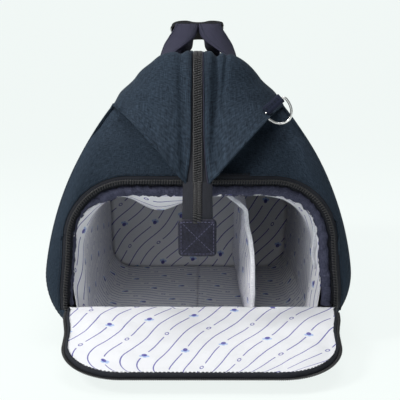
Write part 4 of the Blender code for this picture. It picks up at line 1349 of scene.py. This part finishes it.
def make_door():
    """The open door: its lining on top, its padding and outer fabric, and its edge."""
    def waves(x, away):
        return 0.0011 * uneven(x * 22, away * 30, 0) + 0.0005 * uneven(x * 60, away * 70, 3)

    def lining_lift(x, away, gap):
        crown = 0.0018 * smoothstep(gap / 0.030)
        return -0.0044 - crown - waves(x, away) * smoothstep(gap / 0.008)

    def shell_lift(_x, away, gap):
        return 0.0006 + 0.0008 * smoothstep(gap / 0.020) * (1 - smoothstep(away / 0.13) * 0.9)

    lining = door_cloth_grid(-0.0038, 110, 60, lining_lift)
    piece = cloth_piece("door_lining_cloth", lining, LOOKS["door_print"], LINING,
                        flip=facing(lining, (0, 0, 1)))
    finish_piece(piece, "door", "lining_print", "door_lining")

    def pad_lift(_x, _away, gap):
        return -0.0036 * smoothstep(gap / 0.006 + 0.2)

    top = door_cloth_grid(-0.0050, 80, 44, pad_lift)
    under = door_cloth_grid(-0.0050, 80, 44, shell_lift)
    pad = closed_pair("door_pad", top, under, LOOKS["shell"])
    finish_piece(pad, "door", "shell_fabric", "door_shell", "door_foam")
    make_door_edge()
    make_hinge_cloth()


def closed_pair(name, top, under, look):
    """One closed body between two grids with the same rim."""
    rows, columns = top.shape[:2]
    count = rows * columns
    faces = grid_faces(rows, columns)
    faces += [tuple(count + k for k in reversed(face)) for face in grid_faces(rows, columns)]
    edge = [k for k in range(columns)] + [i * columns + columns - 1 for i in range(1, rows)]
    edge += [(rows - 1) * columns + k for k in range(columns - 2, -1, -1)]
    edge += [i * columns for i in range(rows - 2, 0, -1)]
    for here, there in zip(edge, edge[1:] + edge[:1]):
        faces.append((here, there, count + there, count + here))
    points = np.concatenate([top.reshape(-1, 3), under.reshape(-1, 3)])
    uvs = np.concatenate([grid_uv(top).reshape(-1, 2), grid_uv(under).reshape(-1, 2) + 0.5])
    piece = new_object(name, points, faces, look, uvs)
    outwards(piece)
    return piece


def outwards(piece):
    """Turns every face of a closed mesh out."""
    work = bmesh.new()
    work.from_mesh(piece.data)
    bmesh.ops.recalc_face_normals(work, faces=work.faces)
    work.to_mesh(piece.data)
    work.free()


def make_door_edge():
    """Black binding round the door, its zip tape and its half of the coil."""
    def line(offset, outside, count):
        return [door_place(p.x, p.y, outside) for p in door_rim(offset, count)]

    # The binding's cross-section, as (offset from the coil, distance below it).
    section = ((-0.0056, -0.0046), (-0.0052, -0.0056), (-0.0044, -0.0058), (-0.0034, -0.0050),
               (-0.0026, -0.0034), (-0.0026, -0.0012), (-0.0034, 0.0008), (-0.0056, 0.0014),
               (-0.0080, 0.0014))
    grid = grid_from([line(offset, outside, 260) for offset, outside in section])
    grid = raised(grid, (0, -0.30, -0.2),
                  lambda row, column, _place: 0.0004 * uneven(column * 0.35, row * 0.3, 0))
    band = cloth_piece("door_edge_binding", grid, LOOKS["tape"], TAPE,
                       flip=facing_out(grid, (0, -0.31, 0.019)))
    finish_piece(band, "door", "zip_tape", "door_binding")
    taut(band, grid, "door_foam")

    grid = grid_from([line(offset, -0.0012, 260) for offset in (-0.0050, -0.0030, -0.0008)])
    tape = cloth_piece("door_zip_tape", grid, LOOKS["tape"], TAPE,
                       flip=facing(grid, (0, 0, 1)))
    finish_piece(tape, "door", "zip_tape")
    taut(tape, grid, "door_teeth")
    path = line(-0.0012, -0.0012, 420)
    inwards = [inner - here for here, inner in zip(path, line(0.0020, -0.0012, 420))]
    frames = frames_along(path, inwards)
    ends = coil_ends(path, frames, -0.0010, 0.0016, DOOR_PITCH)
    coil = capsules("door_coil", ends, SMALL_TOOTH, LOOKS["coil"])
    finish_piece(coil, "door", "zip_coil", "door_teeth")
    ends = stitch_ends(line(-0.0048, -0.0061, 300), 0.0026, 0.0012)
    sew("door_edge_stitches", ends, "door", "zip_tape", 0.0003)


def make_hinge_cloth():
    """Lining that runs from the bay's floor over the sill onto the door."""
    profile = smooth_path([(0, 0.012, 0.0335), (0, 0.006, 0.0378), (0, 0.000, 0.0408),
                           (0, HINGE_Y, 0.0425), (0, HINGE_Y - 0.006, 0.0415),
                           (0, HINGE_Y - 0.014, 0.0388)], 4)
    shares = list(np.linspace(-1, 1, 110))

    def place(k, share):
        spot = profile[int(k)]
        x = share * 0.1310
        lift = 0.0007 * uneven(x * 34, k * 0.3, 0)
        low = 0.0015 * smoothstep((abs(share) - 0.93) / 0.07)
        return Vector((x + MOUTH_SHIFT, spot.y - HALF_LENGTH, spot.z + lift - low))

    grid = surface_grid(place, list(range(len(profile))), shares)
    piece = cloth_piece("hinge_lining", grid, LOOKS["door_print"], LINING,
                        flip=facing(grid, (0, 0, 1)))
    plane_uv(piece, 1, 0)
    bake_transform(piece)

    outside = smooth_path([(0, -0.0006, 0.0300), (0, -0.0020, 0.0345), (0, HINGE_Y, 0.0368),
                           (0, HINGE_Y - 0.008, 0.0345)], 4)

    def place_outside(k, share):
        spot = outside[int(k)]
        return Vector((share * 0.134 + MOUTH_SHIFT, spot.y - HALF_LENGTH, spot.z))

    grid = surface_grid(place_outside, list(range(len(outside))), shares)
    under = cloth_piece("hinge_cloth", grid, LOOKS["shell"], 0.0008,
                        flip=facing(grid, (0, -1, -1)))
    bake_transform(under)
    taut(under, grid, "shoe_end_panel")


# ---- Top zip ------------------------------------------------------------------------------
def ridge_run(count):
    """(half width, place) evenly along the whole top zip, from tip to tip."""
    near = [zip_edge(part) for part in np.linspace(0, 1, 60)]
    far = [Vector((spot.x, -spot.y, spot.z)) for spot in reversed(near)]
    run = [settled(spot) for spot in near + far]
    halves = [spot.x for spot in run]
    line = [Vector((0, spot.y, spot.z)) for spot in run]
    reach = reach_along(line)
    wanted = np.linspace(0, reach[-1], count)
    ys = np.interp(wanted, reach, [p.y for p in line])
    zs = np.interp(wanted, reach, [p.z for p in line])
    return list(np.interp(wanted, reach, halves)), [Vector((0, y, z)) for y, z in zip(ys, zs)]


def make_top_zip():
    """Both tapes, the closed coil, its cords and the piping, from beak to beak."""
    halves, line = ridge_run(300)
    frames = frames_along(line, ALONG_X)
    # The tape's cross-section, as (share of the half width, distance below the coil).
    section = ((0.05, 0.0), (0.35, 0.0002), (0.75, 0.0004), (1.25, 0.0012))
    for side, node in ((1, "top_tape_right"), (-1, "top_tape_left")):
        grid = grid_from([[spot + ALONG_X * side * half * share - up * (TAPE + low)
                           for half, spot, up in zip(halves, line, upwards(frames))]
                          for share, low in section])
        tape = cloth_piece(node + "_cloth", grid, LOOKS["tape"], THIN_TAPE,
                           flip=facing_out(grid, MIDDLE))
        finish_piece(tape, "bag", "zip_tape", node)
        taut(tape, grid, "top_teeth")
    lifted = [spot + up * 0.0004 for spot, up in zip(line, upwards(frames))]
    coil = capsules("top_coil", chain_ends(lifted, frames), TOOTH_RADIUS, LOOKS["coil"])
    finish_piece(coil, "bag", "zip_coil", "top_teeth")
    for side, side_name in ((-1, "left"), (1, "right")):
        path = [spot + ALONG_X * side * CORD_X for spot in lifted]
        cord = swept("top_coil_cord_" + side_name, path, frames, round_section(CORD_RADIUS, 6),
                     LOOKS["coil"])
        finish_piece(cord, "bag", "zip_coil")
    piping = [spot + ALONG_X * (half * 0.92) for half, spot in zip(halves, lifted)]
    seam = swept("top_zip_piping", piping, frames, round_section(0.0005, 6), LOOKS["webbing"])
    finish_piece(seam, "bag", "zip_tape")


def make_tail(name, far):
    """The zip tape's free end with the coil down its middle, and its stitched leather tab."""
    path = smooth_path([(0, -HALF_LENGTH - 0.0205, 0.1735), (0, -HALF_LENGTH - 0.030, 0.1680),
                        (0, -HALF_LENGTH - 0.045, 0.1595), (0, -HALF_LENGTH - 0.0615, 0.1480),
                        (0, -HALF_LENGTH - TAIL_REACH, 0.1400)], 7)
    turn = -1 if far else 1
    flipped = [Vector((spot.x, spot.y * turn, spot.z)) for spot in path]
    frames = frames_along(flipped, ALONG_X)
    band = swept(name + "_tape_cloth", flipped, frames,
                 strip_section(TAPE_WIDTH / 2, THIN_TAPE), LOOKS["tape"])
    finish_piece(band, name, "zip_tape", name + "_tape")
    raised_line = [spot + up * 0.0012 for spot, up in zip(flipped, upwards(frames))]
    coil = capsules(name + "_coil", chain_ends(raised_line, frames), TOOTH_RADIUS, LOOKS["coil"])
    finish_piece(coil, name, "zip_coil")
    make_tab(name, turn)


def make_tab(name, turn):
    """Two layers of pebbled leather with a boxed cross of stitches."""
    centre = Vector((0, (-HALF_LENGTH - TAIL_REACH) * turn, 0.1265))
    half_x, half_z, corner = 0.0182, 0.0180, 0.0045
    out = -turn
    profile = ((0.0, 0.0017), (0.5, 0.0018), (0.9, 0.0017), (0.97, 0.0013), (1.0, 0.0004),
               (1.0, -0.0004), (0.97, -0.0013), (0.9, -0.0017), (0.0, -0.0017))

    def place(x, z, depth):
        bend = 0.0010 * (z / half_z) ** 2 + 0.0006 * (x / half_x) ** 2
        return centre + Vector((x, out * (depth - bend), z))

    rows = []
    for share, depth in profile:
        share = max(share, 0.001)
        row = [place(x * share, z * share, depth)
               for x, z in rounded_rectangle(half_x, half_z, corner, 8)]
        rows.append(row + [row[0]])
    grid = grid_from(rows)
    tab = cloth_piece(name + "_tab_leather", grid, LOOKS["tab"], 0, flip=facing_out(grid, centre))
    plane_uv(tab, 0, 2)
    finish_piece(tab, name, "tab_leather", name + "_tab")
    box = [(-1, -1), (1, -1), (1, 1), (-1, 1), (-1, -1)]
    inner_x, inner_z = half_x - 0.0028, half_z - 0.0028
    ends = []
    for (ax, az), (bx, bz) in list(zip(box, box[1:])) + [((-1, -1), (1, 1)), ((-1, 1), (1, -1))]:
        line = [place(inner_x * (ax + (bx - ax) * part), inner_z * (az + (bz - az) * part), 0.00165)
                for part in np.linspace(0, 1, 12)]
        ends += stitch_ends(line, 0.0022, 0.0010)
    sew(name + "_tab_stitches", ends, name, "tab_leather", 0.00042, "tab_thread")


def rounded_rectangle(half_x, half_z, corner, steps):
    """(x, z) places round a rectangle with rounded corners."""
    places = []
    for quarter, (sx, sz) in enumerate([(1, 1), (-1, 1), (-1, -1), (1, -1)]):
        for k in range(steps + 1):
            angle = math.pi / 2 * (quarter + k / steps)
            places.append((sx * (half_x - corner) + corner * math.cos(angle),
                           sz * (half_z - corner) + corner * math.sin(angle)))
    return places


# ---- Handles ------------------------------------------------------------------------------
def strap_place(angle, y, lift):
    """A place over the right side panel, lift above its surface."""
    x, z = outline(angle)
    x1, z1 = outline(angle + 0.5)
    x0, z0 = outline(angle - 0.5)
    normal = Vector((z1 - z0, 0, x0 - x1)).normalized()
    return settled(Vector((x, y, z))) + normal * lift


def handle_route(per_span=10):
    """The right handle's route, the directions of its width and how much it is folded."""
    knots = [strap_place(62, -STRAP_Y, 0.0014), strap_place(67, -STRAP_Y, 0.0016),
             (0.0430, -STRAP_Y, 0.2885), (0.0370, -0.0870, 0.2965), (0.0285, -0.0820, 0.3070),
             (0.0205, -0.0740, 0.3155), (0.0158, -0.0630, 0.3225), (0.0138, -0.0530, 0.3275),
             (0.0138, -GRIP_HALF, GRIP_Z - 0.0012),
             (0.0140, -GRIP_HALF / 2, GRIP_Z - GRIP_SAG * 0.75), (0.0140, 0, GRIP_Z - GRIP_SAG)]
    sides = [(0, 1, 0), (0, 1, 0), (0.1, 1, 0.03), (0.25, 0.94, 0.08), (0.45, 0.85, 0.15),
             (0.65, 0.7, 0.15), (0.88, 0.45, 0.05), (0.99, 0.12, 0), (1, 0, 0), (1, 0, 0),
             (1, 0, 0)]
    shares = [(share, 0, 0) for share in (0, 0, 0, 0, 0.15, 0.45, 0.8, 1, 1, 1, 1)]
    near, near_sides, folds = (smooth_path(run, per_span) for run in (knots, sides, shares))
    path = near + [drawn_in(Vector((spot.x, -spot.y, spot.z))) for spot in near[-2::-1]]
    turned = near_sides + [Vector((way.x, -way.y, way.z)) for way in near_sides[-2::-1]]
    folded = [min(1.0, max(0.0, fold.x)) for fold in folds + folds[-2::-1]]
    return path, turned, folded


def drawn_in(place):
    """The far half of a handle leans in towards the zip, between its foot and the grip."""
    above_foot = smoothstep((place.z - 0.285) / 0.010)
    below_grip = 1 - smoothstep((place.z - 0.300) / 0.026)
    share = above_foot * below_grip
    return Vector((place.x * (1 - FAR_DRAW * share), place.y, place.z + FAR_DRAW_LIFT * share))


def make_handle(side):
    """One webbing handle: flat at its sewn feet, folded lengthwise inside the grip."""
    path, sides, folded = handle_route()
    if side == "left":
        path = [swapped(place) for place in path]
        sides = [swapped(way) for way in sides]
    frames = frames_along(path, sides)

    def size(share):
        fold = folded[round(share * (len(path) - 1))]
        return 1 + (FOLDED_WIDTH / WEBBING - 1) * fold, 1 + FOLD_STACK * fold

    band = swept(side + "_handle_webbing", path, frames,
                 strip_section(WEBBING / 2, WEBBING_HALF_THICK), LOOKS["webbing"], scale=size)
    bend_with_handles(band, side + "_handle")

    def edge_place(k, across, face):
        """A place near one of the webbing's edges, on one of its faces."""
        _, side_way, normal = frames[k]
        wide, thick = size(k / (len(path) - 1))
        return (path[k] + side_way * across * (WEBBING / 2 * wide - 0.0022)
                + normal * face * 0.0012 * thick)

    ends = []
    for across in (-1, 1):
        for face in (-1, 1):
            line = [edge_place(k, across, face) for k in range(len(path))]
            ends += stitch_ends(line, 0.0028, 0.0012)
    bend_with_handles(capsules(side + "_handle_stitches", ends, STITCH_RADIUS, LOOKS["thread"]))
    for end in (-1, 1):
        make_foot_stitches(side, end)


def make_foot_stitches(side, end):
    """A boxed cross of stitches that sews a handle's foot to the shoulder of the bag."""
    half = WEBBING / 2 - 0.0044
    low, high = 62.6, 66.6  # angles of outline()
    corners = [(low, -half), (low, half), (high, half), (high, -half)]
    pairs = list(zip(corners, corners[1:] + corners[:1]))
    pairs += [(corners[0], corners[2]), (corners[1], corners[3])]
    ends = []
    for (angle_a, y_a), (angle_b, y_b) in pairs:
        line = [strap_place(angle_a + (angle_b - angle_a) * t,
                            end * STRAP_Y + y_a + (y_b - y_a) * t, 0.0029)
                for t in np.linspace(0, 1, 14)]
        ends += stitch_ends(line, 0.0026, 0.0012)
    if side == "left":
        ends = [(swapped(a), swapped(b)) for a, b in ends]
    name = "{}_{}_foot_stitches".format(side, "near" if end < 0 else "far")
    sew(name, ends, "bag", "webbing")


def make_wrap():
    """Leather cradle under both handles; it sags between its ends and shows a suede inside."""
    cradle = smooth_path([(0.0292, 0, 0.0026), (0.0291, 0, -0.0016), (0.0268, 0, -0.0046),
                          (0.0150, 0, -0.0058), (0, 0, -0.0052), (-0.0150, 0, -0.0058),
                          (-0.0268, 0, -0.0046), (-0.0291, 0, -0.0016), (-0.0292, 0, 0.0026)], 5)

    def place(k, share):
        spot = cradle[int(k)]
        lowered = smoothstep(0.5 - spot.z / 0.004)
        fall = (GRIP_SAG + (WRAP_SAG - GRIP_SAG) * lowered) * (1 - share * share)
        soft = 0.0005 * uneven(spot.x * 50, share * 4, spot.z * 60)
        return Vector((spot.x + soft, share * GRIP_HALF, GRIP_Z + spot.z - fall + soft))

    grid = surface_grid(place, list(range(len(cradle))), np.linspace(-1, 1, 40))
    centre = (0, 0, GRIP_Z)
    flip = facing_out(grid, centre)
    outside = cloth_piece("wrap_leather_cradle", grid, LOOKS["wrap_under"], LEATHER, flip=flip)
    finish_piece(outside, "handles", "wrap_leather", "handle_wrap")
    edge_stitches("wrap_stitches", grid, "handles", 0.0005, centre)


def edge_stitches(name, grid, body, lift, centre):
    """A row of stitches just inside both ends of a strip of leather."""
    normals = grid_normals(grid, centre) * lift
    ends = []
    for column in (1, grid.shape[1] - 2):
        line = [Vector(p) for p in grid[:, column] + normals[:, column]]
        ends += stitch_ends(line, 0.0026, 0.0012)
    sew(name, ends, body, "wrap_leather", 0.00036)


def make_flap():
    """The wrap's flap: a saddle over the handles, closed by a snap on the left side."""
    over = smooth_path([(0.0295, 0, 0.0020), (0.0290, 0, 0.0042), (0.0240, 0, 0.0058),
                        (0.0140, 0, 0.0064), (0.0050, 0, 0.0050), (-0.0050, 0, 0.0050),
                        (-0.0140, 0, 0.0064), (-0.0250, 0, 0.0056), (-0.0306, 0, 0.0030),
                        (-0.0316, 0, -0.0010), (-0.0314, 0, -0.0080)], 5)

    def place(k, share):
        spot = over[int(k)]
        soft = 0.0004 * uneven(spot.x * 46, share * 4, 2)
        lip = 0.0042 * smoothstep((abs(share) - 0.90) / 0.08) * smoothstep((spot.z + 0.001) / 0.004)
        return Vector((spot.x, share * (GRIP_HALF + 0.003), GRIP_Z + spot.z + soft - lip))

    grid = surface_grid(place, list(range(len(over))), np.linspace(-1, 1, 40))
    centre = (0, 0, GRIP_Z - 0.004)
    flap = cloth_piece("flap_leather", grid, LOOKS["grip"], LEATHER,
                       flip=facing_out(grid, centre))
    finish_piece(flap, "flap", "wrap_leather", "wrap_flap")
    edge_stitches("flap_stitches", grid, "flap", 0.0004, centre)
    cap = lathe("snap_cap", [(0.0001, 0.0024), (0.0020, 0.0022), (0.0036, 0.0014), (0.0045, 0.0005),
                             (0.0046, 0.0), (0.0042, -0.0003), (0.0001, -0.0003)],
                Vector((-0.0326, 0, GRIP_Z - 0.0026)), Vector((-1, 0, 0)), LOOKS["nickel"])
    finish_piece(cap, "flap", "nickel", "wrap_snap")


def lathe(name, profile, place, axis, look, steps=32):
    """A round piece from (radius, height) pairs about an axis through place."""
    side = axis.cross(UP if abs(axis.z) < 0.9 else ALONG_X).normalized()
    other = axis.cross(side)
    points, uvs = [], []
    for radius, height in profile:
        for k in range(steps):
            turn = 2 * math.pi * k / steps
            points.append(place + axis * height + (side * math.cos(turn)
                                                   + other * math.sin(turn)) * radius)
            uvs.append((radius * math.cos(turn), radius * math.sin(turn)))
    faces = grid_faces(len(profile), steps, closed=True)
    faces.append(tuple(range(steps)))
    faces.append(tuple(range(len(points) - 1, len(points) - steps - 1, -1)))
    piece = new_object(name, points, faces, look, uvs)
    outwards(piece)
    return piece


# ---- D-rings ------------------------------------------------------------------------------
def make_ring(end):
    """A D of flat-sided nickel wire, and the folded webbing that holds its bar."""
    turn = -1 if end == "near" else 1
    centre = Vector((RING_PLACE[0], turn * RING_PLACE[1], RING_PLACE[2]))
    half, corner = RING_BAR / 2, 0.0030
    route = [(s, 0) for s in np.linspace(-half + corner, half - corner, 10)]
    route += [(half - corner + corner * math.sin(a), corner - corner * math.cos(a))
              for a in np.linspace(0.2, math.pi / 2, 6)]
    route += [(half * math.cos(a), corner + (RING_DEPTH - corner) * math.sin(a))
              for a in np.linspace(0.08, math.pi - 0.08, 44)]
    route += [(-half + corner - corner * math.sin(a), corner - corner * math.cos(a))
              for a in np.linspace(math.pi / 2, 0.2, 6)]
    path = [centre + BAR_WAY * s + HANG_WAY * h for s, h in route]
    points, uvs = [], []
    for k, place in enumerate(path):
        ahead = (path[(k + 1) % len(path)] - path[k - 1]).normalized()
        side = ahead.cross(ALONG_Y).normalized()
        for n in range(WIRE_SIDES):
            angle = 2 * math.pi * n / WIRE_SIDES
            points.append(place + side * 0.0014 * math.cos(angle)
                          + ALONG_Y * 0.0017 * math.sin(angle))
            uvs.append((k * 0.0016, n * 0.0009))
    faces = []
    for k in range(len(path)):
        low, high = k * WIRE_SIDES, (k + 1) % len(path) * WIRE_SIDES
        for n in range(WIRE_SIDES):
            after = (n + 1) % WIRE_SIDES
            faces.append((low + n, low + after, high + after, high + n))
    ring = new_object(end + "_ring_metal", points, faces, LOOKS["nickel"], uvs)
    outwards(ring)
    finish_piece(ring, end + "_ring", "nickel", end + "_d_ring")
    make_ring_tab(end, centre)


def make_ring_tab(end, centre):
    """Folded webbing round the ring's bar, sewn into the shoulder behind it."""
    wrap = 0.0032
    route = [-HANG_WAY * 0.006 + ALONG_Y * 0.0012, -HANG_WAY * 0.003 + ALONG_Y * 0.0022]
    route += [ALONG_Y * math.cos(a) * wrap + HANG_WAY * math.sin(a) * wrap
              for a in np.linspace(0.1, math.pi - 0.1, 12)]
    route += [-HANG_WAY * 0.003 - ALONG_Y * 0.0022, -HANG_WAY * 0.006 - ALONG_Y * 0.0012]
    path = [centre + p for p in smooth_path(route, 2)]
    frames = frames_along(path, BAR_WAY)
    tab = swept(end + "_ring_webbing", path, frames, strip_section(0.0108, 0.0007),
                LOOKS["ring_webbing"])
    finish_piece(tab, "bag", "webbing", end + "_ring_tab")
    ends = []
    for along in (0.0026, 0.0046):
        for face in (-1, 1):
            line = [centre - HANG_WAY * along + BAR_WAY * s + ALONG_Y * face * 0.0034
                    for s in np.linspace(-0.0094, 0.0094, 10)]
            ends += stitch_ends(line, 0.0024, 0.0012)
    sew(end + "_ring_stitches", ends, "bag", "webbing", 0.0003)


# ---- Zip sliders --------------------------------------------------------------------------
def slab(name, place, wide, long, thick, half_x, half_y, domed=0.2):
    """A rounded nickel plate; wide and long are its directions, thick its thickness vector."""
    rows = []
    profile = ((0.02, 0.0), (0.85, 0.0), (1.0, 0.18), (1.0, 0.82), (0.85, 1.0), (0.02, 1.0))
    for share, level in profile:
        rise = level + (domed * (1 - share) if level > 0.5 else 0)
        row = [place + wide * x * share + long * y * share + thick * rise
               for x, y in rounded_rectangle(half_x, half_y, PLATE_CORNER, 5)]
        rows.append(row + [row[0]])
    grid = grid_from(rows)
    centre = place + thick * 0.5
    return cloth_piece(name, grid, LOOKS["nickel"], 0, flip=facing_out(grid, centre))


def make_top_slider(end, y, direction):
    """A slider on the ridge with its bridge, and the puller that lies along the zip."""
    top = settled(zip_edge(1)).z
    place = Vector((0, y, top))
    body = slab(end + "_slider_body", place + UP * 0.0011, ALONG_X, ALONG_Y, UP * 0.0014,
                *SLIDER_HALF, domed=0.3)
    finish_piece(body, end + "_zip_slider", "nickel", end + "_slider")
    arch = smooth_path([(0, y - 0.0052, top + 0.0024), (0, y - 0.0040, top + 0.0046),
                        (0, y, top + 0.0050), (0, y + 0.0040, top + 0.0046),
                        (0, y + 0.0052, top + 0.0024)], 4)
    bridge = swept(end + "_slider_bridge", arch, frames_along(arch, ALONG_X),
                   strip_section(0.0014, 0.0005), LOOKS["nickel"])
    finish_piece(bridge, end + "_zip_slider", "nickel")
    hinge = place + Vector((0, -0.004 * direction, 0.0036))
    centre = hinge + Vector((0, 0.011 * direction, -0.0005))
    plate = slab(end + "_puller_plate", centre, ALONG_X, ALONG_Y, UP * PLATE,
                 PLATE_HALF_WIDE, 0.0130)
    finish_piece(plate, end + "_zip_puller", "nickel", end + "_puller")


def make_door_slider():
    """The U zip's slider at the foot of its left leg, with a puller that hangs."""
    place = Vector((-0.1333 + MOUTH_SHIFT, -HALF_LENGTH - 0.0033, 0.0240))
    tilt = math.radians(-23)
    long = Vector((math.sin(tilt), 0, math.cos(tilt)))
    wide = Vector((math.cos(tilt), 0, -math.sin(tilt)))
    body = slab("door_slider_body", place, wide, long, Vector((0, -0.0028, 0)), *SLIDER_HALF)
    finish_piece(body, "bag", "nickel", "door_slider")
    hang = Vector((place.x, -HALF_LENGTH - 0.0067, 0.0275 - 0.0095))
    plate = slab("door_puller_plate", hang, ALONG_X, UP, Vector((0, -PLATE, 0)),
                 PLATE_HALF_WIDE, 0.0115)
    finish_piece(plate, "door_zip_puller", "nickel", "door_puller")


# ---- Inner pieces, stage and camera -------------------------------------------------------
def dress_hidden_nodes(nodes):
    """Materials for the inner pieces that the shell hides."""
    board = solid_look("board_look", (0.16, 0.13, 0.10, 1), (0.32, 0.27, 0.22, 1), 60, 0.8)
    lining = solid_look("inner_lining_look", (0.55, 0.56, 0.60, 1), (0.82, 0.83, 0.86, 1), 40, 0.8)
    foam = solid_look("foam_look", (0.45, 0.45, 0.43, 1), (0.66, 0.66, 0.63, 1), 300, 0.95)
    for name, look in (("base_board", board), ("main_lining", lining), ("far_end_lining", lining),
                       ("door_foam", foam)):
        nodes[name].data.materials.clear()
        nodes[name].data.materials.append(look)


def make_floor():
    """Pale floor that rises into a backdrop behind the bag. It glows faintly, as a lit studio
    sweep does, so that it reads as one even tone."""
    profile = smooth_path([(0, -2.2, 0), (0, -0.5, 0), (0, 1.0, 0), (0, 1.9, 0), (0, 2.6, 0.25),
                           (0, 3.0, 1.0), (0, 3.1, 2.6)], 6)
    grid = grid_from([[Vector((x, spot.y, max(0.0, spot.z) - 0.0004))
                       for x in np.linspace(-3.5, 3.5, 8)] for spot in profile])
    look = Look("floor_look", roughness=0.95, specular=0.0)
    where = look.node("ShaderNodeTexCoord").outputs["Object"]
    speck = look.noise(where, 3, 2)
    look.set("Base Color", look.mix(speck, (0.106, 0.112, 0.111, 1), (0.114, 0.120, 0.119, 1)))
    look.set("Emission Color", (0.905, 0.96, 0.94, 1))
    look.set("Emission Strength", FLOOR_GLOW)
    floor = cloth_piece("floor", grid, look.material, 0, flip=facing(grid, (0, 0, 1)))


def add_light(name, place, target, size, power, colour=(1, 1, 1)):
    """A round soft lamp that points at a target."""
    data = bpy.data.lights.new(name, "AREA")
    data.shape = "DISK"
    data.size = size
    data.energy = power
    data.color = colour
    light = bpy.data.objects.new(name, data)
    bpy.context.scene.collection.objects.link(light)
    light.location = place
    light.rotation_euler = (Vector(target) - Vector(place)).to_track_quat("-Z", "Y").to_euler()


def set_stage():
    """The floor, an even studio light from all round, three lamps and the camera."""
    make_floor()
    world = bpy.data.worlds.new("studio")
    world.use_nodes = True
    world.node_tree.nodes["Background"].inputs["Color"].default_value = (0.93, 0.97, 1.0, 1)
    world.node_tree.nodes["Background"].inputs["Strength"].default_value = 0.25
    bpy.context.scene.world = world
    add_light("key", (-1.25, -0.75, 1.35), (0, -0.15, 0.12), 0.55, 26, (1.0, 0.99, 0.97))
    add_light("top", (0.1, -0.1, 1.9), (0, 0, 0.1), 1.1, 13)
    add_light("front", (-0.3, -2.0, 0.9), (0, -0.2, 0.1), 0.9, 5)
    bpy.context.scene.view_settings.view_transform = "Standard"

    data = bpy.data.cameras.new("camera")
    data.lens = CAMERA_LENS
    data.sensor_width = 36
    camera = bpy.data.objects.new("camera", data)
    bpy.context.scene.collection.objects.link(camera)
    camera.location = CAMERA_PLACE
    camera.rotation_euler = (math.pi / 2 - CAMERA_PITCH, 0, CAMERA_TURN)
    bpy.context.scene.camera = camera


def build(nodes):
    """Every visible piece of the bag."""
    make_looks()
    for left in (False, True):
        cloth, flat = make_side_cloth(left)
    near_end = make_end_cloth(far=False)
    far_end = make_end_cloth(far=True)
    make_sill_cloth()
    make_base_cloth()
    make_mouth()
    make_bay_lining()
    make_divider()
    make_wall_hem()
    make_door()
    make_top_zip()
    make_tail("near_tail", far=False)
    make_tail("far_tail", far=True)
    for side in ("left", "right"):
        make_handle(side)
    make_wrap()
    make_flap()
    make_ring("near")
    make_ring("far")
    make_top_slider("near", 0.066, 1)
    make_top_slider("far", 0.112, -1)
    make_door_slider()
    dress_hidden_nodes(nodes)


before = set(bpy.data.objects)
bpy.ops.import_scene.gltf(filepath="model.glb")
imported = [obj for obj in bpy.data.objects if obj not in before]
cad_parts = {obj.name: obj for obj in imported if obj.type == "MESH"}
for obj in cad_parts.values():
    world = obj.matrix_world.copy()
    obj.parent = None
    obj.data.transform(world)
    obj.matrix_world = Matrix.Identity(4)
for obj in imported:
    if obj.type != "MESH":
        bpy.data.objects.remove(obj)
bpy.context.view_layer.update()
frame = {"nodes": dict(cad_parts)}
build(frame["nodes"])
set_stage()
